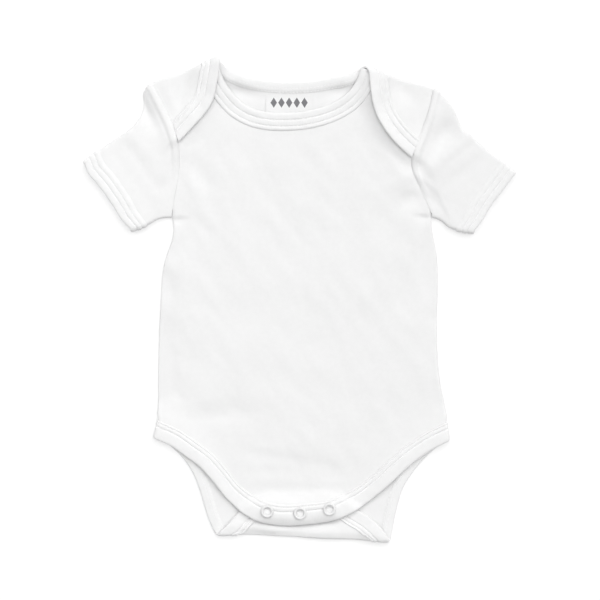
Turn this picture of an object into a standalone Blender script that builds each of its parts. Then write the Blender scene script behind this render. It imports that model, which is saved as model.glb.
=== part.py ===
"""A baby bodysuit with lap shoulders and a snapped crotch, laid flat on its back, face up.

All sizes are millimetres, and a mesh is scaled to metres as it is made. X runs across the garment,
with the wearer's left at +X. Y runs up to the neck. Z = 0 is the surface that it lies on.

Each piece of cloth has a laid_... function, which takes points of its flat pattern to where they
lie in the garment. A panel is that surface moved out by half a wall each way. A binding or label
is the same surface moved out further, so it follows the panel that it is sewn to.
"""

import math

import bpy
import numpy as np
from mathutils import Vector
from mathutils.geometry import delaunay_2d_cdt, tessellate_polygon

MM = 0.001
RIGHT, LEFT = -1, 1
SIDES = {RIGHT: "right", LEFT: "left"}

# Cloth
WALL = 1.0
HALF = WALL / 2
SEAM = 0.3
LAYER = 0.55
BAND_STEP = WALL + SEAM
BAND_OUT = 14.0
BAND_IN = 9.0
BAND_TOP = HALF + BAND_STEP

# Heights
FALL = 14.0
FLAP_FALL = 30.0
BODY_LOFT = 1.3
EDGE_LOFT = 0.35
LEFT_LAP_LIFT = 1.6
SLEEVE_HEIGHT = 4.4
CUFF_RADIUS = 2.1
RIDGE_HEIGHT = 1.1
RIDGE_WIDTH = 2.6

# Turns
FOLD_RADIUS = 3.0
FOLD_TURN = math.pi * FOLD_RADIUS
FOLD_STEPS = 5
ROLL_RADIUS = 1.5
ROLL_TURN = math.pi / 2 * ROLL_RADIUS
ROLL_STEPS = 2
ROLL_SLOPE = 0.45
ROLL_SHARE = 0.92
SHOULDER_INSET = 2.0
ARMHOLE_GAP = 0.5
TURN = 100.0

# Mesh spacing
STATION = 8.5
GRID = 13.0
ROW_GAP = 0.8
LEAN_REACH = 18.0

# Snaps
SNAP_RADIUS = 5.1
SNAP_HEIGHT = 1.1
STUD_RADIUS = 4.4
STUD_HEIGHT = 0.8
STUD_ROOM = 1.4
SNAP_SEGMENTS = 16

# The body's sides: height y, right edge x, left edge x
SIDE_ROWS = (
    (64.0, -99.5, 103.0),
    (55.4, -98.5, 103.6),
    (46.8, -99.6, 105.4),
    (36.7, -103.4, 107.2),
    (23.4, -106.9, 108.2),
    (3.9, -108.3, 108.2),
    (-19.5, -109.6, 107.7),
    (-62.4, -110.5, 109.8),
    (-81.9, -110.7, 113.6),
    (-95.2, -112.1, 116.1),
    (-107.6, -114.9, 117.6),
    (-116.0, -116.8, 118.6),
)

# Seams and bound edges, each row a point (x, y)
ARMHOLE = {
    RIGHT: (
        (-97.9, 78.0),
        (-95.2, 92.0),
        (-93.6, 106.9),
        (-94.0, 120.1),
        (-97.5, 133.8),
        (-104.9, 150.2),
        (-113.9, 167.7),
    ),
    LEFT: (
        (99.5, 75.7),
        (94.0, 87.4),
        (88.9, 98.3),
        (87.0, 107.6),
        (88.9, 117.0),
        (94.8, 131.8),
        (100.2, 147.4),
        (104.0, 163.9),
    ),
}
ARMPIT = {RIGHT: 64.0, LEFT: 64.5}
LAP_EDGE = {
    RIGHT: (
        (-61.2, 183.9),
        (-62.9, 175.5),
        (-64.4, 166.9),
        (-66.3, 158.0),
        (-69.8, 150.2),
        (-75.3, 143.1),
        (-81.5, 136.1),
        (-94.1, 122.9),
    ),
    LEFT: (
        (54.1, 175.0),
        (55.2, 163.5),
        (56.9, 152.9),
        (60.1, 143.1),
        (65.9, 133.0),
        (72.9, 124.0),
        (80.0, 117.0),
        (87.3, 110.9),
    ),
}
BACK_NECK = (
    (-61.2, 183.9),
    (-58.1, 181.0),
    (-52.6, 177.8),
    (-42.5, 173.9),
    (-26.9, 171.2),
    (-7.4, 170.0),
    (9.8, 170.8),
    (25.4, 173.2),
    (35.5, 173.8),
    (40.5, 175.0),
    (45.3, 176.95),
)
FRONT_NECK = (
    (-62.4, 181.5),
    (-60.5, 174.7),
    (-56.9, 167.7),
    (-51.9, 161.1),
    (-44.9, 154.1),
    (-35.5, 149.0),
    (-24.6, 146.4),
    (-10.5, 145.9),
    (5.1, 147.2),
    (19.1, 150.9),
    (30.8, 156.4),
    (39.0, 163.0),
    (43.6, 170.4),
    (44.9, 174.4),
)
FRONT_LEG = (
    (-101.0, -113.5),
    (-88.5, -122.1),
    (-77.6, -130.3),
    (-69.8, -138.8),
    (-54.2, -157.6),
    (-45.6, -165.0),
    (-35.5, -171.2),
    (-23.0, -175.1),
    (-9.8, -176.1),
    (4.3, -175.2),
    (28.5, -171.4),
    (47.2, -162.2),
    (62.8, -150.2),
    (94.0, -122.9),
    (106.5, -115.0),
)
LEG_TOP = {RIGHT: -107.6, LEFT: -110.0}
BACK_LEG = {
    RIGHT: (
        (-104.1, -111.9),
        (-96.3, -118.2),
        (-90.1, -124.8),
        (-83.9, -134.2),
        (-78.4, -147.4),
        (-74.5, -160.7),
        (-70.6, -172.4),
        (-66.7, -181.2),
    ),
    LEFT: (
        (106.5, -115.8),
        (97.1, -124.4),
        (87.8, -135.3),
        (80.7, -147.4),
        (76.8, -159.9),
        (74.1, -171.6),
        (71.4, -186.2),
    ),
}
FLAP_EDGE = (
    (-62.4, -181.3),
    (-55.8, -174.7),
    (-47.2, -165.4),
    (-38.6, -158.7),
    (-28.5, -156.0),
    (0.4, -157.2),
    (23.8, -154.1),
    (33.9, -156.4),
    (44.1, -163.0),
    (55.0, -169.7),
    (63.6, -177.5),
    (69.4, -186.1),
)
SNAP_POINTS = ((-25.1, -164.3), (0.4, -165.8), (23.2, -162.6))
LABEL_WIDTH, LABEL_HEIGHT = 36.0, 17.0
LABEL_CENTRE = (-8.1, 151.9)
LABEL_COLUMNS, LABEL_ROWS = 5, 4

# Sleeves: outlines from the body to the cuff, and the cuff from top to underarm
SLEEVE_TOP = {
    RIGHT: (
        (-115.0, 170.0),
        (-122.1, 162.2),
        (-123.6, 152.1),
        (-125.2, 144.3),
        (-128.3, 138.1),
        (-133.8, 132.6),
        (-141.6, 127.9),
        (-158.0, 117.0),
        (-169.7, 108.4),
    ),
    LEFT: (
        (104.9, 166.1),
        (109.6, 161.5),
        (121.3, 148.2),
        (125.2, 140.4),
        (129.1, 132.6),
        (134.6, 127.9),
        (147.0, 117.8),
        (158.7, 109.2),
        (169.7, 99.8),
    ),
}
SLEEVE_PIT = {RIGHT: (-99.7, 65.9), LEFT: (103.4, 66.4)}
SLEEVE_UNDER = {
    RIGHT: (
        (-100.2, 64.0),
        (-108.0, 63.2),
        (-116.6, 58.5),
        (-124.4, 54.6),
        (-131.4, 52.3),
    ),
    LEFT: (
        (103.7, 64.7),
        (110.4, 61.6),
        (115.8, 56.2),
        (125.2, 52.6),
        (136.1, 50.7),
    ),
}
CUFF = {
    RIGHT: (
        (-169.7, 108.4),
        (-166.5, 100.6),
        (-159.5, 92.0),
        (-143.9, 69.4),
        (-137.7, 59.3),
        (-131.4, 52.3),
    ),
    LEFT: (
        (169.7, 99.8),
        (160.3, 86.6),
        (148.6, 70.2),
        (141.6, 57.7),
        (136.1, 50.7),
    ),
}

# Soft folds of the front and sleeves: centre x, y, length, width, direction in degrees, height
FRONT_FOLDS = (
    (-92.0, 18.0, 30.0, 12.0, 80.0, 0.7),
    (-96.0, -60.0, 40.0, 11.0, 85.0, 0.6),
    (-97.0, 37.0, 22.0, 9.0, 60.0, -0.6),
    (-96.0, -74.0, 20.0, 8.0, -45.0, -0.5),
    (-66.0, -86.0, 45.0, 14.0, 5.0, -0.5),
    (-5.0, -134.0, 80.0, 12.0, 3.0, -0.5),
    (-84.0, 92.0, 26.0, 10.0, -60.0, 0.7),
    (86.0, 80.0, 26.0, 10.0, 60.0, -0.6),
    (84.0, 96.0, 22.0, 9.0, 25.0, 0.6),
    (98.0, 34.0, 60.0, 8.0, 92.0, -0.5),
    (-84.0, 122.0, 18.0, 7.0, 45.0, -0.5),
    (78.0, 108.0, 24.0, 8.0, -40.0, -0.5),
    (25.0, 10.0, 70.0, 22.0, 70.0, 0.35),
    (-30.0, -30.0, 80.0, 24.0, 100.0, 0.3),
)
SLEEVE_FOLDS = {
    RIGHT: (
        (-120.0, 118.0, 40.0, 9.0, 60.0, 0.7),
        (-126.0, 100.0, 44.0, 10.0, 40.0, -0.7),
        (-108.0, 90.0, 30.0, 9.0, 75.0, 0.6),
    ),
    LEFT: (
        (118.0, 112.0, 44.0, 9.0, -50.0, 0.7),
        (112.0, 92.0, 40.0, 9.0, -75.0, -0.7),
        (132.0, 92.0, 36.0, 9.0, -35.0, 0.5),
    ),
}


def smooth(rows, spacing):
    """Points about every spacing along a smooth curve through the rows."""
    knots = np.array(rows, float)
    gaps = np.linalg.norm(np.diff(knots, axis=0), axis=1)
    slopes = np.diff(knots, axis=0) / gaps[:, None]
    tangents = np.empty_like(knots)
    before, after = gaps[:-1, None], gaps[1:, None]
    tangents[1:-1] = (slopes[:-1] * after + slopes[1:] * before) / (before + after)
    tangents[0] = 1.5 * slopes[0] - 0.5 * tangents[1]
    tangents[-1] = 1.5 * slopes[-1] - 0.5 * tangents[-2]
    starts = np.concatenate([[0], np.cumsum(gaps)])
    at = np.linspace(0, starts[-1], 40 * len(knots))
    i = np.clip(np.searchsorted(starts, at, side="right") - 1, 0, len(gaps) - 1)
    h = gaps[i, None]
    f = (at - starts[i])[:, None] / h
    line = (1 + 2 * f) * (1 - f) ** 2 * knots[i] + f * (1 - f) ** 2 * h * tangents[i]
    line += f**2 * (3 - 2 * f) * knots[i + 1] - f**2 * (1 - f) * h * tangents[i + 1]
    return evenly(line, max(2, round(length_of(line) / spacing) + 1))


def length_of(line):
    return np.linalg.norm(np.diff(line, axis=0), axis=1).sum()


def evenly(line, count):
    """The same line, with count points evenly spaced along it."""
    run = np.concatenate([[0], np.cumsum(np.linalg.norm(np.diff(line, axis=0), axis=1))])
    at = np.linspace(0, run[-1], count)
    return np.stack([np.interp(at, run, line[:, k]) for k in (0, 1)], axis=1)


def left_normals(line):
    tangents = np.gradient(line, axis=0)
    tangents /= np.linalg.norm(tangents, axis=1, keepdims=True)
    return np.stack([-tangents[:, 1], tangents[:, 0]], axis=1)


def away(points, line):
    """Each point's distance to the nearest place on a line."""
    start, run = line[:-1], np.diff(line, axis=0)
    offset = points[:, None] - start
    share = np.clip((offset * run).sum(-1) / (run**2).sum(-1), 0, 1)
    return np.linalg.norm(offset - share[..., None] * run, axis=2).min(axis=1)


def inside(points, loop):
    """Which points lie inside a closed loop."""
    x, y = points[:, :1], points[:, 1:]
    ax, ay = loop.T
    bx, by = np.roll(loop, -1, axis=0).T
    spans = (ay > y) != (by > y)
    rise = np.where(by == ay, 1, by - ay)
    return (spans & (x < ax + (y - ay) / rise * (bx - ax))).sum(axis=1) % 2 == 1


def step(distance, plateau, fall):
    """1 up to the plateau's end, easing to 0 over the fall."""
    x = np.clip((plateau + fall - distance) / fall, 0, 1)
    return x * x * (3 - 2 * x)


def folds_height(points, folds):
    """The height that a table of soft folds adds."""
    height = np.zeros(len(points))
    for x, y, length, width, degrees, rise in folds:
        turn = math.radians(degrees)
        dx, dy = points[:, 0] - x, points[:, 1] - y
        along = (dx * math.cos(turn) + dy * math.sin(turn)) / (length / 2)
        across = (dy * math.cos(turn) - dx * math.sin(turn)) / (width / 2)
        height += rise * np.exp(-(along**2) - across**2)
    return height


# Lines of the garment as it lies
BACK_EDGES = [smooth(BACK_NECK + LAP_EDGE[LEFT][:1], 4.0)] + [
    smooth(((side * 116.0, LEG_TOP[side]),) + BACK_LEG[side], 4.0) for side in SIDES
]
FRONT_EDGES = [
    smooth(FRONT_NECK, 4.0),
    smooth(((-115.5, LEG_TOP[RIGHT]),) + FRONT_LEG + ((117.8, LEG_TOP[LEFT]),), 4.0),
]
FLAP_LINE = smooth(FLAP_EDGE, 4.0)
LAP_LINES = {side: smooth(LAP_EDGE[side], 4.0) for side in SIDES}
SNAP_LINE = np.array(SNAP_POINTS)
SIDE_LINE = {
    side: smooth([(row[0], row[1 if side == RIGHT else 2]) for row in SIDE_ROWS], 3.0)
    for side in SIDES
}


def back_bound(points):
    return np.min([away(points, line) for line in BACK_EDGES], axis=0)


def back_height(points):
    return HALF + BAND_STEP * step(back_bound(points), BAND_OUT + 2, FALL)


def label_reach(points):
    half = np.array([LABEL_WIDTH, LABEL_HEIGHT]) / 2
    outside = np.maximum(np.abs(points - LABEL_CENTRE) - half, 0)
    return step(np.linalg.norm(outside, axis=1), 1.5, FALL)


def back_top(points):
    """The top of the back panel, its binding and the label."""
    bound = step(back_bound(points), BAND_IN + 1, FALL)
    return back_height(points) + HALF + BAND_STEP * np.maximum(bound, label_reach(points))


def flap_height(points):
    binding = BAND_STEP * step(away(points, FLAP_LINE), BAND_IN + 1, FALL)
    return back_top(points) + LAYER + HALF + binding


def under_front(points):
    """The top of what the front panel lies on: the back, and the flap where it reaches."""
    base = back_top(points)
    binding = BAND_STEP * step(away(points, FLAP_LINE), BAND_OUT + 1, FALL)
    rise = flap_height(points) + HALF + binding - base
    outside = np.where(inside(points, FLAP_LINE), 0, away(points, FLAP_LINE))
    return base + rise * step(outside, 1.5, FLAP_FALL)


def front_bound(points):
    return np.min([away(points, line) for line in FRONT_EDGES], axis=0)


def front_height(points):
    bound = front_bound(points)
    binding = BAND_STEP * step(bound, BAND_IN + 1, FALL)
    studs = STUD_ROOM * step(away(points, SNAP_LINE), 8.0, FLAP_FALL)
    free = 1 - step(bound, BAND_IN, 2 * FALL)
    loft = EDGE_LOFT + free * (BODY_LOFT - EDGE_LOFT + folds_height(points, FRONT_FOLDS))
    return under_front(points) + LAYER + HALF + binding + studs + loft


def lap_height(side, points):
    binding = BAND_STEP * step(front_bound(points), BAND_OUT + 1, FALL)
    front_top = front_height(points) + HALF + binding
    edge = away(points, LAP_LINES[side])
    own = BAND_STEP * step(edge, BAND_IN + 1, FALL)
    lift = 0
    if side == LEFT:
        middle = np.linalg.norm(points - (62.0, 136.0), axis=1)
        lift = LEFT_LAP_LIFT * step(middle, 6.0, 30.0)
    return front_top + LAYER + HALF + own + lift


class Fold:
    """A straight fold. Pattern points beyond the line turn up over it and lie back on the panel."""

    def __init__(self, start, end, over):
        self.start = np.array(start)
        run = np.array(end) - self.start
        self.along = run / np.linalg.norm(run)
        self.outward = np.array([-self.along[1], self.along[0]])
        self.over = over

    def split(self, points):
        offset = points - self.start
        return offset @ self.along, offset @ self.outward

    def at(self, along, beyond):
        along, beyond = np.broadcast_arrays(np.asarray(along, float), beyond)
        return self.start + along[..., None] * self.along + beyond[..., None] * self.outward

    def unfold(self, plan):
        """The pattern points of cloth that lies folded over these places."""
        along, beyond = self.split(plan)
        return self.at(along, FOLD_TURN - beyond)

    def lay(self, points):
        along, beyond = self.split(points)
        line = self.at(along, 0.0)
        low, high = back_height(line), self.over(line)
        radius = (high - low) / 2
        angle = np.clip(beyond / FOLD_RADIUS, 0, math.pi)
        plan = self.at(along, radius * np.sin(angle) - np.maximum(beyond - FOLD_TURN, 0))
        height = low + radius * (1 - np.cos(angle))
        height = np.where(beyond > FOLD_TURN, self.over(plan), height)
        return np.column_stack([plan, height])


SHOULDER = {
    RIGHT: Fold(LAP_EDGE[RIGHT][0], ARMHOLE[RIGHT][-1], lambda p: lap_height(RIGHT, p)),
    LEFT: Fold(LAP_EDGE[LEFT][0], ARMHOLE[LEFT][-1], lambda p: lap_height(LEFT, p)),
}
SHOULDER[RIGHT].outward *= -1
CROTCH = Fold(BACK_LEG[RIGHT][-1], BACK_LEG[LEFT][-1], flap_height)
CROTCH.outward *= -1


def roll_start(side, y):
    """The x where the body starts to roll round its side edge, at each height y."""
    edge = SIDE_LINE[side]
    x = np.interp(y, edge[::-1, 0], edge[::-1, 1])
    plan = np.column_stack([x - side * 4.0, y])
    radius = (front_height(plan) - back_height(plan)) / 2
    bound = BAND_STEP * step(y - LEG_TOP[side], BAND_OUT, 6.0)
    start = x - side * (radius + HALF + bound)
    return np.where(y > ARMPIT[side] + 12, side * 1000.0, start)


def laid_body(points, height, rolls_up):
    """A body panel as it lies: level, and rolled half way round its two side edges."""
    plan = points.copy()
    turn = np.zeros(len(points))
    for side in SIDES:
        start = roll_start(side, points[:, 1])
        beyond = side * (points[:, 0] - start)
        plan[:, 0] = np.where(beyond > 0, start, plan[:, 0])
        turn = np.where(beyond > 0, side * beyond / ROLL_RADIUS, turn)
    radius = (front_height(plan) - back_height(plan)) / 2
    drop = (radius - SEAM / 2) * (1 - np.cos(turn))
    z = height(plan) + (drop if rolls_up else -drop)
    return np.column_stack([plan[:, 0] + radius * np.sin(turn), plan[:, 1], z])


def laid_front(points):
    return laid_body(points, front_height, False)


def laid_back(points):
    places = laid_body(points, back_height, True)
    for fold, region in (
        (SHOULDER[RIGHT], points[:, 0] < -20),
        (SHOULDER[LEFT], points[:, 0] > 20),
        (CROTCH, points[:, 1] < -20),
    ):
        region = region & (fold.split(points)[1] > 0)
        if region.any():
            places[region] = fold.lay(points[region])
    return places


def moved_out(surface, points, distance):
    """Places of a laid surface, moved along its normal."""
    nudge = 0.05
    across = surface(points + (nudge, 0)) - surface(points - (nudge, 0))
    upward = surface(points + (0, nudge)) - surface(points - (0, nudge))
    normals = np.cross(across, upward)
    normals /= np.linalg.norm(normals, axis=1, keepdims=True)
    return surface(points) + np.asarray(distance)[..., None] * normals


class BoundEdge:
    """An edge of a pattern with cloth on its left. leans gives stations where the rows across
    the binding run in a given direction, such as along a seam or a fold. With rolls, the rows
    keep to the two side seams' rolls at the edge's ends."""

    def __init__(self, points, leans, rolls=False):
        self.points = points
        self.rolls = rolls
        normals = left_normals(points)
        steps = np.linalg.norm(np.diff(points, axis=0), axis=1)
        run = np.concatenate([[0], np.cumsum(steps)])
        pull = normals.copy()
        for stations, direction in leans:
            direction = np.array(direction) / np.linalg.norm(direction)
            distance = np.min([np.abs(run - run[k]) for k in stations], axis=0)
            near = step(distance, 0.0, LEAN_REACH)[:, None]
            pull += near / (1.0000001 - near) * direction
        pull /= np.linalg.norm(pull, axis=1, keepdims=True)
        self.across = pull / np.maximum((pull * normals).sum(axis=1), 0.5)[:, None]

    def row(self, inset):
        row = self.points + inset * self.across
        for k in range(ROLL_STEPS + 1 if self.rolls else 0):
            turned = ROLL_TURN * ROLL_SHARE * (1 - k / ROLL_STEPS)
            for side, i in ((RIGHT, k), (LEFT, -1 - k)):
                row[i, 0] = roll_start(side, row[i : i + 1 or None, 1])[0] + side * turned
        return row


class RingEdge:
    """The cuff's edge: pattern points (turn round the sleeve, distance from the cuff)."""

    def __init__(self, turns):
        self.turns = turns

    def row(self, inset):
        return np.column_stack([self.turns, np.full(len(self.turns), float(inset))])


def seam_x(side, y):
    return roll_start(side, y) + side * ROLL_TURN


def seam_rows(side, low, high):
    """Points up a side seam, and the rows of the roll inside it."""
    y = np.linspace(low, high, max(2, round((high - low) / STATION) + 1))
    start = roll_start(side, y)
    return [
        np.column_stack([start + side * ROLL_TURN * k / ROLL_STEPS, y])
        for k in range(ROLL_STEPS, -1, -1)
    ]


def from_seam(side, rows):
    """A leg edge's stations from the side seam: across the roll, then through the rows."""
    turn = np.linspace(ROLL_SHARE, 0, ROLL_STEPS + 1)
    y = LEG_TOP[side] - (1 - turn) * ROLL_TURN * ROLL_SLOPE
    roll = np.column_stack([roll_start(side, y) + side * ROLL_TURN * turn, y])
    return np.concatenate([roll[:-1], smooth((tuple(roll[-1]),) + tuple(rows), STATION)])


def seam_way(side):
    y = np.array([LEG_TOP[side], LEG_TOP[side] + BAND_OUT])
    return np.array([*np.diff(roll_start(side, y)), BAND_OUT])


def front_leg_edge():
    half = len(FRONT_LEG) // 2
    right = from_seam(RIGHT, FRONT_LEG + ((118.0, LEG_TOP[LEFT]),))
    left = from_seam(LEFT, FRONT_LEG[::-1])[::-1]
    middle = FRONT_LEG[half][0]
    points = np.concatenate([right[right[:, 0] < middle - 4], left[left[:, 0] > middle + 4]])
    leans = [(range(ROLL_STEPS + 1), seam_way(RIGHT))]
    leans += [(range(-1 - ROLL_STEPS, 0), seam_way(LEFT))]
    return BoundEdge(points, leans, rolls=True)


def front_neck_edge():
    points = smooth(FRONT_NECK[::-1], STATION * 0.8)
    return BoundEdge(points, [([0], SHOULDER[LEFT].along), ([-1], SHOULDER[RIGHT].along)])


def fold_stations(fold, start, end):
    """Points across a fold's turn, from one place along it to another, without the first."""
    share = np.arange(1, FOLD_STEPS + 1) / FOLD_STEPS
    return fold.at(start + (end - start) * share, FOLD_TURN * share)


def back_neck_edge():
    """From the left lap's end over the shoulder, round the back neck, to the right lap's end."""
    points, leans = np.empty((0, 2)), []
    neck = smooth(BACK_NECK[::-1], STATION)
    for side in (LEFT, RIGHT):
        fold = SHOULDER[side]
        lap = fold.unfold(smooth(LAP_EDGE[side], STATION))
        tip = neck[0 if side == LEFT else -1]
        turn = fold_stations(fold, fold.split(tip[None])[0][0], 0.0)[:-1]
        armhole = fold.unfold(np.array(ARMHOLE[side][-4:-2]))
        seam = armhole[1] - armhole[0]
        if side == LEFT:
            points = np.concatenate([lap[::-1], turn[::-1], neck])
            over = range(len(lap) - 1, len(lap) + len(turn) + 1)
            leans += [([0], seam), (over, fold.along)]
        else:
            first = len(points) - 1
            points = np.concatenate([points, turn, lap])
            over = range(first, first + len(turn) + 2)
            leans += [([-1], seam), (over, fold.along)]
    return BoundEdge(points, leans)


def back_leg_edge():
    """From the right side seam down the leg, round the flap, and up to the left side seam."""
    down = from_seam(RIGHT, BACK_LEG[RIGHT])
    up = from_seam(LEFT, BACK_LEG[LEFT])[::-1]
    flap = CROTCH.unfold(smooth(FLAP_EDGE, STATION))
    spots = [CROTCH.split(place[None])[0][0] for place in (down[-1], flap[0], flap[-1], up[0])]
    over = fold_stations(CROTCH, spots[0], spots[1])[:-1]
    under = fold_stations(CROTCH, spots[3], spots[2])[:-1][::-1]
    points = np.concatenate([down, over, flap, under, up])
    turn = len(over) + 2
    first = range(len(down) - 1, len(down) - 1 + turn)
    second = range(len(points) - len(up) - turn + 1, len(points) - len(up) + 1)
    leans = [(range(ROLL_STEPS + 1), seam_way(RIGHT))]
    leans += [(range(-1 - ROLL_STEPS, 0), seam_way(LEFT))]
    leans += [(first, CROTCH.along), (second, -CROTCH.along)]
    return BoundEdge(points, leans, rolls=True)


def grid_inside(loop, others):
    """A triangular grid of points inside a loop, clear of the others."""
    low, high = loop.min(axis=0), loop.max(axis=0)
    rise = GRID * math.sqrt(3) / 2
    rows = [
        (x + GRID / 2 * (j % 2), low[1] + rise * j)
        for j in range(int((high[1] - low[1]) / rise) + 1)
        for x in np.arange(low[0], high[0], GRID)
    ]
    points = np.array(rows)
    near = np.linalg.norm(points[:, None] - others, axis=2).min(axis=1) < GRID * 0.55
    near |= away(points, np.concatenate([loop, loop[:1]])) < GRID * 0.35
    return points[inside(points, loop) & ~near]


def build_mesh(name, places, faces, colour, roughness):
    """One object from places in millimetres, with its faces turned outwards."""
    faces = [tuple(int(i) for i in face) for face in faces]
    volume = sum(
        np.dot(places[face[0]], np.cross(places[face[i]], places[face[i + 1]]))
        for face in faces
        for i in range(1, len(face) - 1)
    )
    if volume < 0:
        faces = [face[::-1] for face in faces]
    mesh = bpy.data.meshes.new(name)
    mesh.from_pydata([tuple(place * MM) for place in places], [], faces)
    mesh.shade_smooth()
    mesh.set_sharp_from_angle(angle=math.radians(50))
    piece = bpy.data.objects.new(name, mesh)
    bpy.context.scene.collection.objects.link(piece)
    material = bpy.data.materials.new(name)
    material.use_nodes = True
    shader = material.node_tree.nodes["Principled BSDF"]
    shader.inputs["Base Color"].default_value = (*colour, 1)
    shader.inputs["Roughness"].default_value = roughness
    material.diffuse_color = (*colour, 1)
    mesh.materials.append(material)
    return piece


def take_row(row, points, loop):
    """Adds a row's pattern points, and returns the index of each, or -1 where it is left out."""
    gaps = np.linalg.norm(row[:, None] - np.array(points), axis=2)
    indices = np.where(gaps.min(axis=1) < 1e-6, gaps.argmin(axis=1), -1)
    rim_line = np.concatenate([loop, loop[:1]])
    kept = (gaps.min(axis=1) > ROW_GAP) & inside(row, loop) & (away(row, rim_line) > ROW_GAP)
    for i in np.flatnonzero(kept):
        indices[i] = len(points)
        points.append(row[i])
    return indices


def wall_from(name, surface, loop, strips, rows, lines, colour, low=-HALF, high=HALF):
    """A closed wall over the pattern inside a loop. strips are the rows under each binding, whose
    triangles match the binding's own. rows are more points to keep, and lines are (fold, distance
    beyond it), along which points are joined up."""
    points = list(loop)
    ties = []
    for strip in strips:
        taken = [take_row(row, points, loop) for row in strip]
        for row in taken:
            ties += zip(row, row[1:])
        for near, far in zip(taken, taken[1:]):
            ties += list(zip(near, far)) + list(zip(near, far[1:]))
    for row in rows:
        indices = take_row(row, points, loop)
        ties += zip(indices, indices[1:])
    ties = [(int(a), int(b)) for a, b in ties if min(a, b) >= 0 and a != b]
    points = np.concatenate([points, grid_inside(loop, np.array(points))])
    for fold, beyond in lines:
        along, offset = fold.split(points)
        on = [i for i in np.argsort(along) if abs(offset[i] - beyond) < 1e-3]
        if fold is not CROTCH:
            on = [i for i in on if points[i, 0] * fold.start[0] > 0]
        ties += list(zip(on, on[1:]))
    flat = [Vector(point) for point in points]
    found = delaunay_2d_cdt(flat, ties, [list(range(len(loop)))], 1, 1e-3)
    points = np.array([tuple(point) for point in found[0]])
    top = moved_out(surface, points, np.full(len(points), high))
    bottom = moved_out(surface, points, np.full(len(points), low))
    count = len(points)
    faces = [tuple(face) for face in found[2]]
    sides = {(face[i], face[(i + 1) % 3]) for face in faces for i in range(3)}
    rim = [(a, b) for a, b in sides if (b, a) not in sides]
    shell = faces + [tuple(count + i for i in face[::-1]) for face in faces]
    shell += [(b, a, count + a, count + b) for a, b in rim]
    return build_mesh(name, np.concatenate([top, bottom]), shell, colour, 0.9)


# A binding's section: inset from its fold, distance out of the panel's middle
BAND_SECTION = (
    (BAND_OUT, BAND_TOP),
    (BAND_IN, BAND_TOP),
    (0.9, BAND_TOP),
    (0.25, BAND_TOP - 0.3),
    (0.0, BAND_TOP - 0.9),
    (0.0, 0.9 - BAND_TOP),
    (0.25, 0.3 - BAND_TOP),
    (0.9, -BAND_TOP),
    (BAND_IN, -BAND_TOP),
    (BAND_IN, -HALF - SEAM),
    (WALL, -HALF - SEAM),
    (WALL, HALF + SEAM),
    (BAND_IN, HALF + SEAM),
    (BAND_OUT, HALF + SEAM),
)


def section_triangles():
    """Triangles that fill a binding's section, each running the section's own way round."""
    profile = [Vector((inset, out, 0)) for inset, out in BAND_SECTION]

    def area(loop):
        return sum(a.x * b.y - b.x * a.y for a, b in zip(loop, loop[1:] + loop[:1]))

    way = area(profile)
    for corners in tessellate_polygon([profile]):
        yield corners if area([profile[k] for k in corners]) * way > 0 else corners[::-1]


def binding(name, surface, edge, outside, ring, colour):
    """A folded strip wrapped round an edge, its wide leg on the garment's outside."""
    rows = []
    for inset, out in BAND_SECTION:
        flat = edge.row(inset)
        rows.append(moved_out(surface, flat, np.full(len(flat), outside * out)))
    count, stations = len(rows), len(rows[0])
    places = np.concatenate(rows)
    faces = []
    for k in range(count):
        here, there = k * stations, (k + 1) % count * stations
        deeper = BAND_SECTION[(k + 1) % count][0] >= BAND_SECTION[k][0]
        for i in range(stations if ring else stations - 1):
            j = (i + 1) % stations
            if deeper:
                faces += [(here + i, here + j, there + j), (here + i, there + j, there + i)]
            else:
                faces += [(here + i, here + j, there + i), (here + j, there + j, there + i)]
    if not ring:
        for corners in section_triangles():
            faces.append([corner * stations for corner in corners])
            faces.append([corner * stations + stations - 1 for corner in corners[::-1]])
    return build_mesh(name, places, faces, colour, 0.88)


def across_share(turn):
    """How far across a sleeve a place is, from its top (0) to its underarm (1)."""
    lower = np.where(turn < 3, 3 - turn, 0)
    return np.where(turn < 1, turn, np.where(turn < 2, 1, lower))


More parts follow.
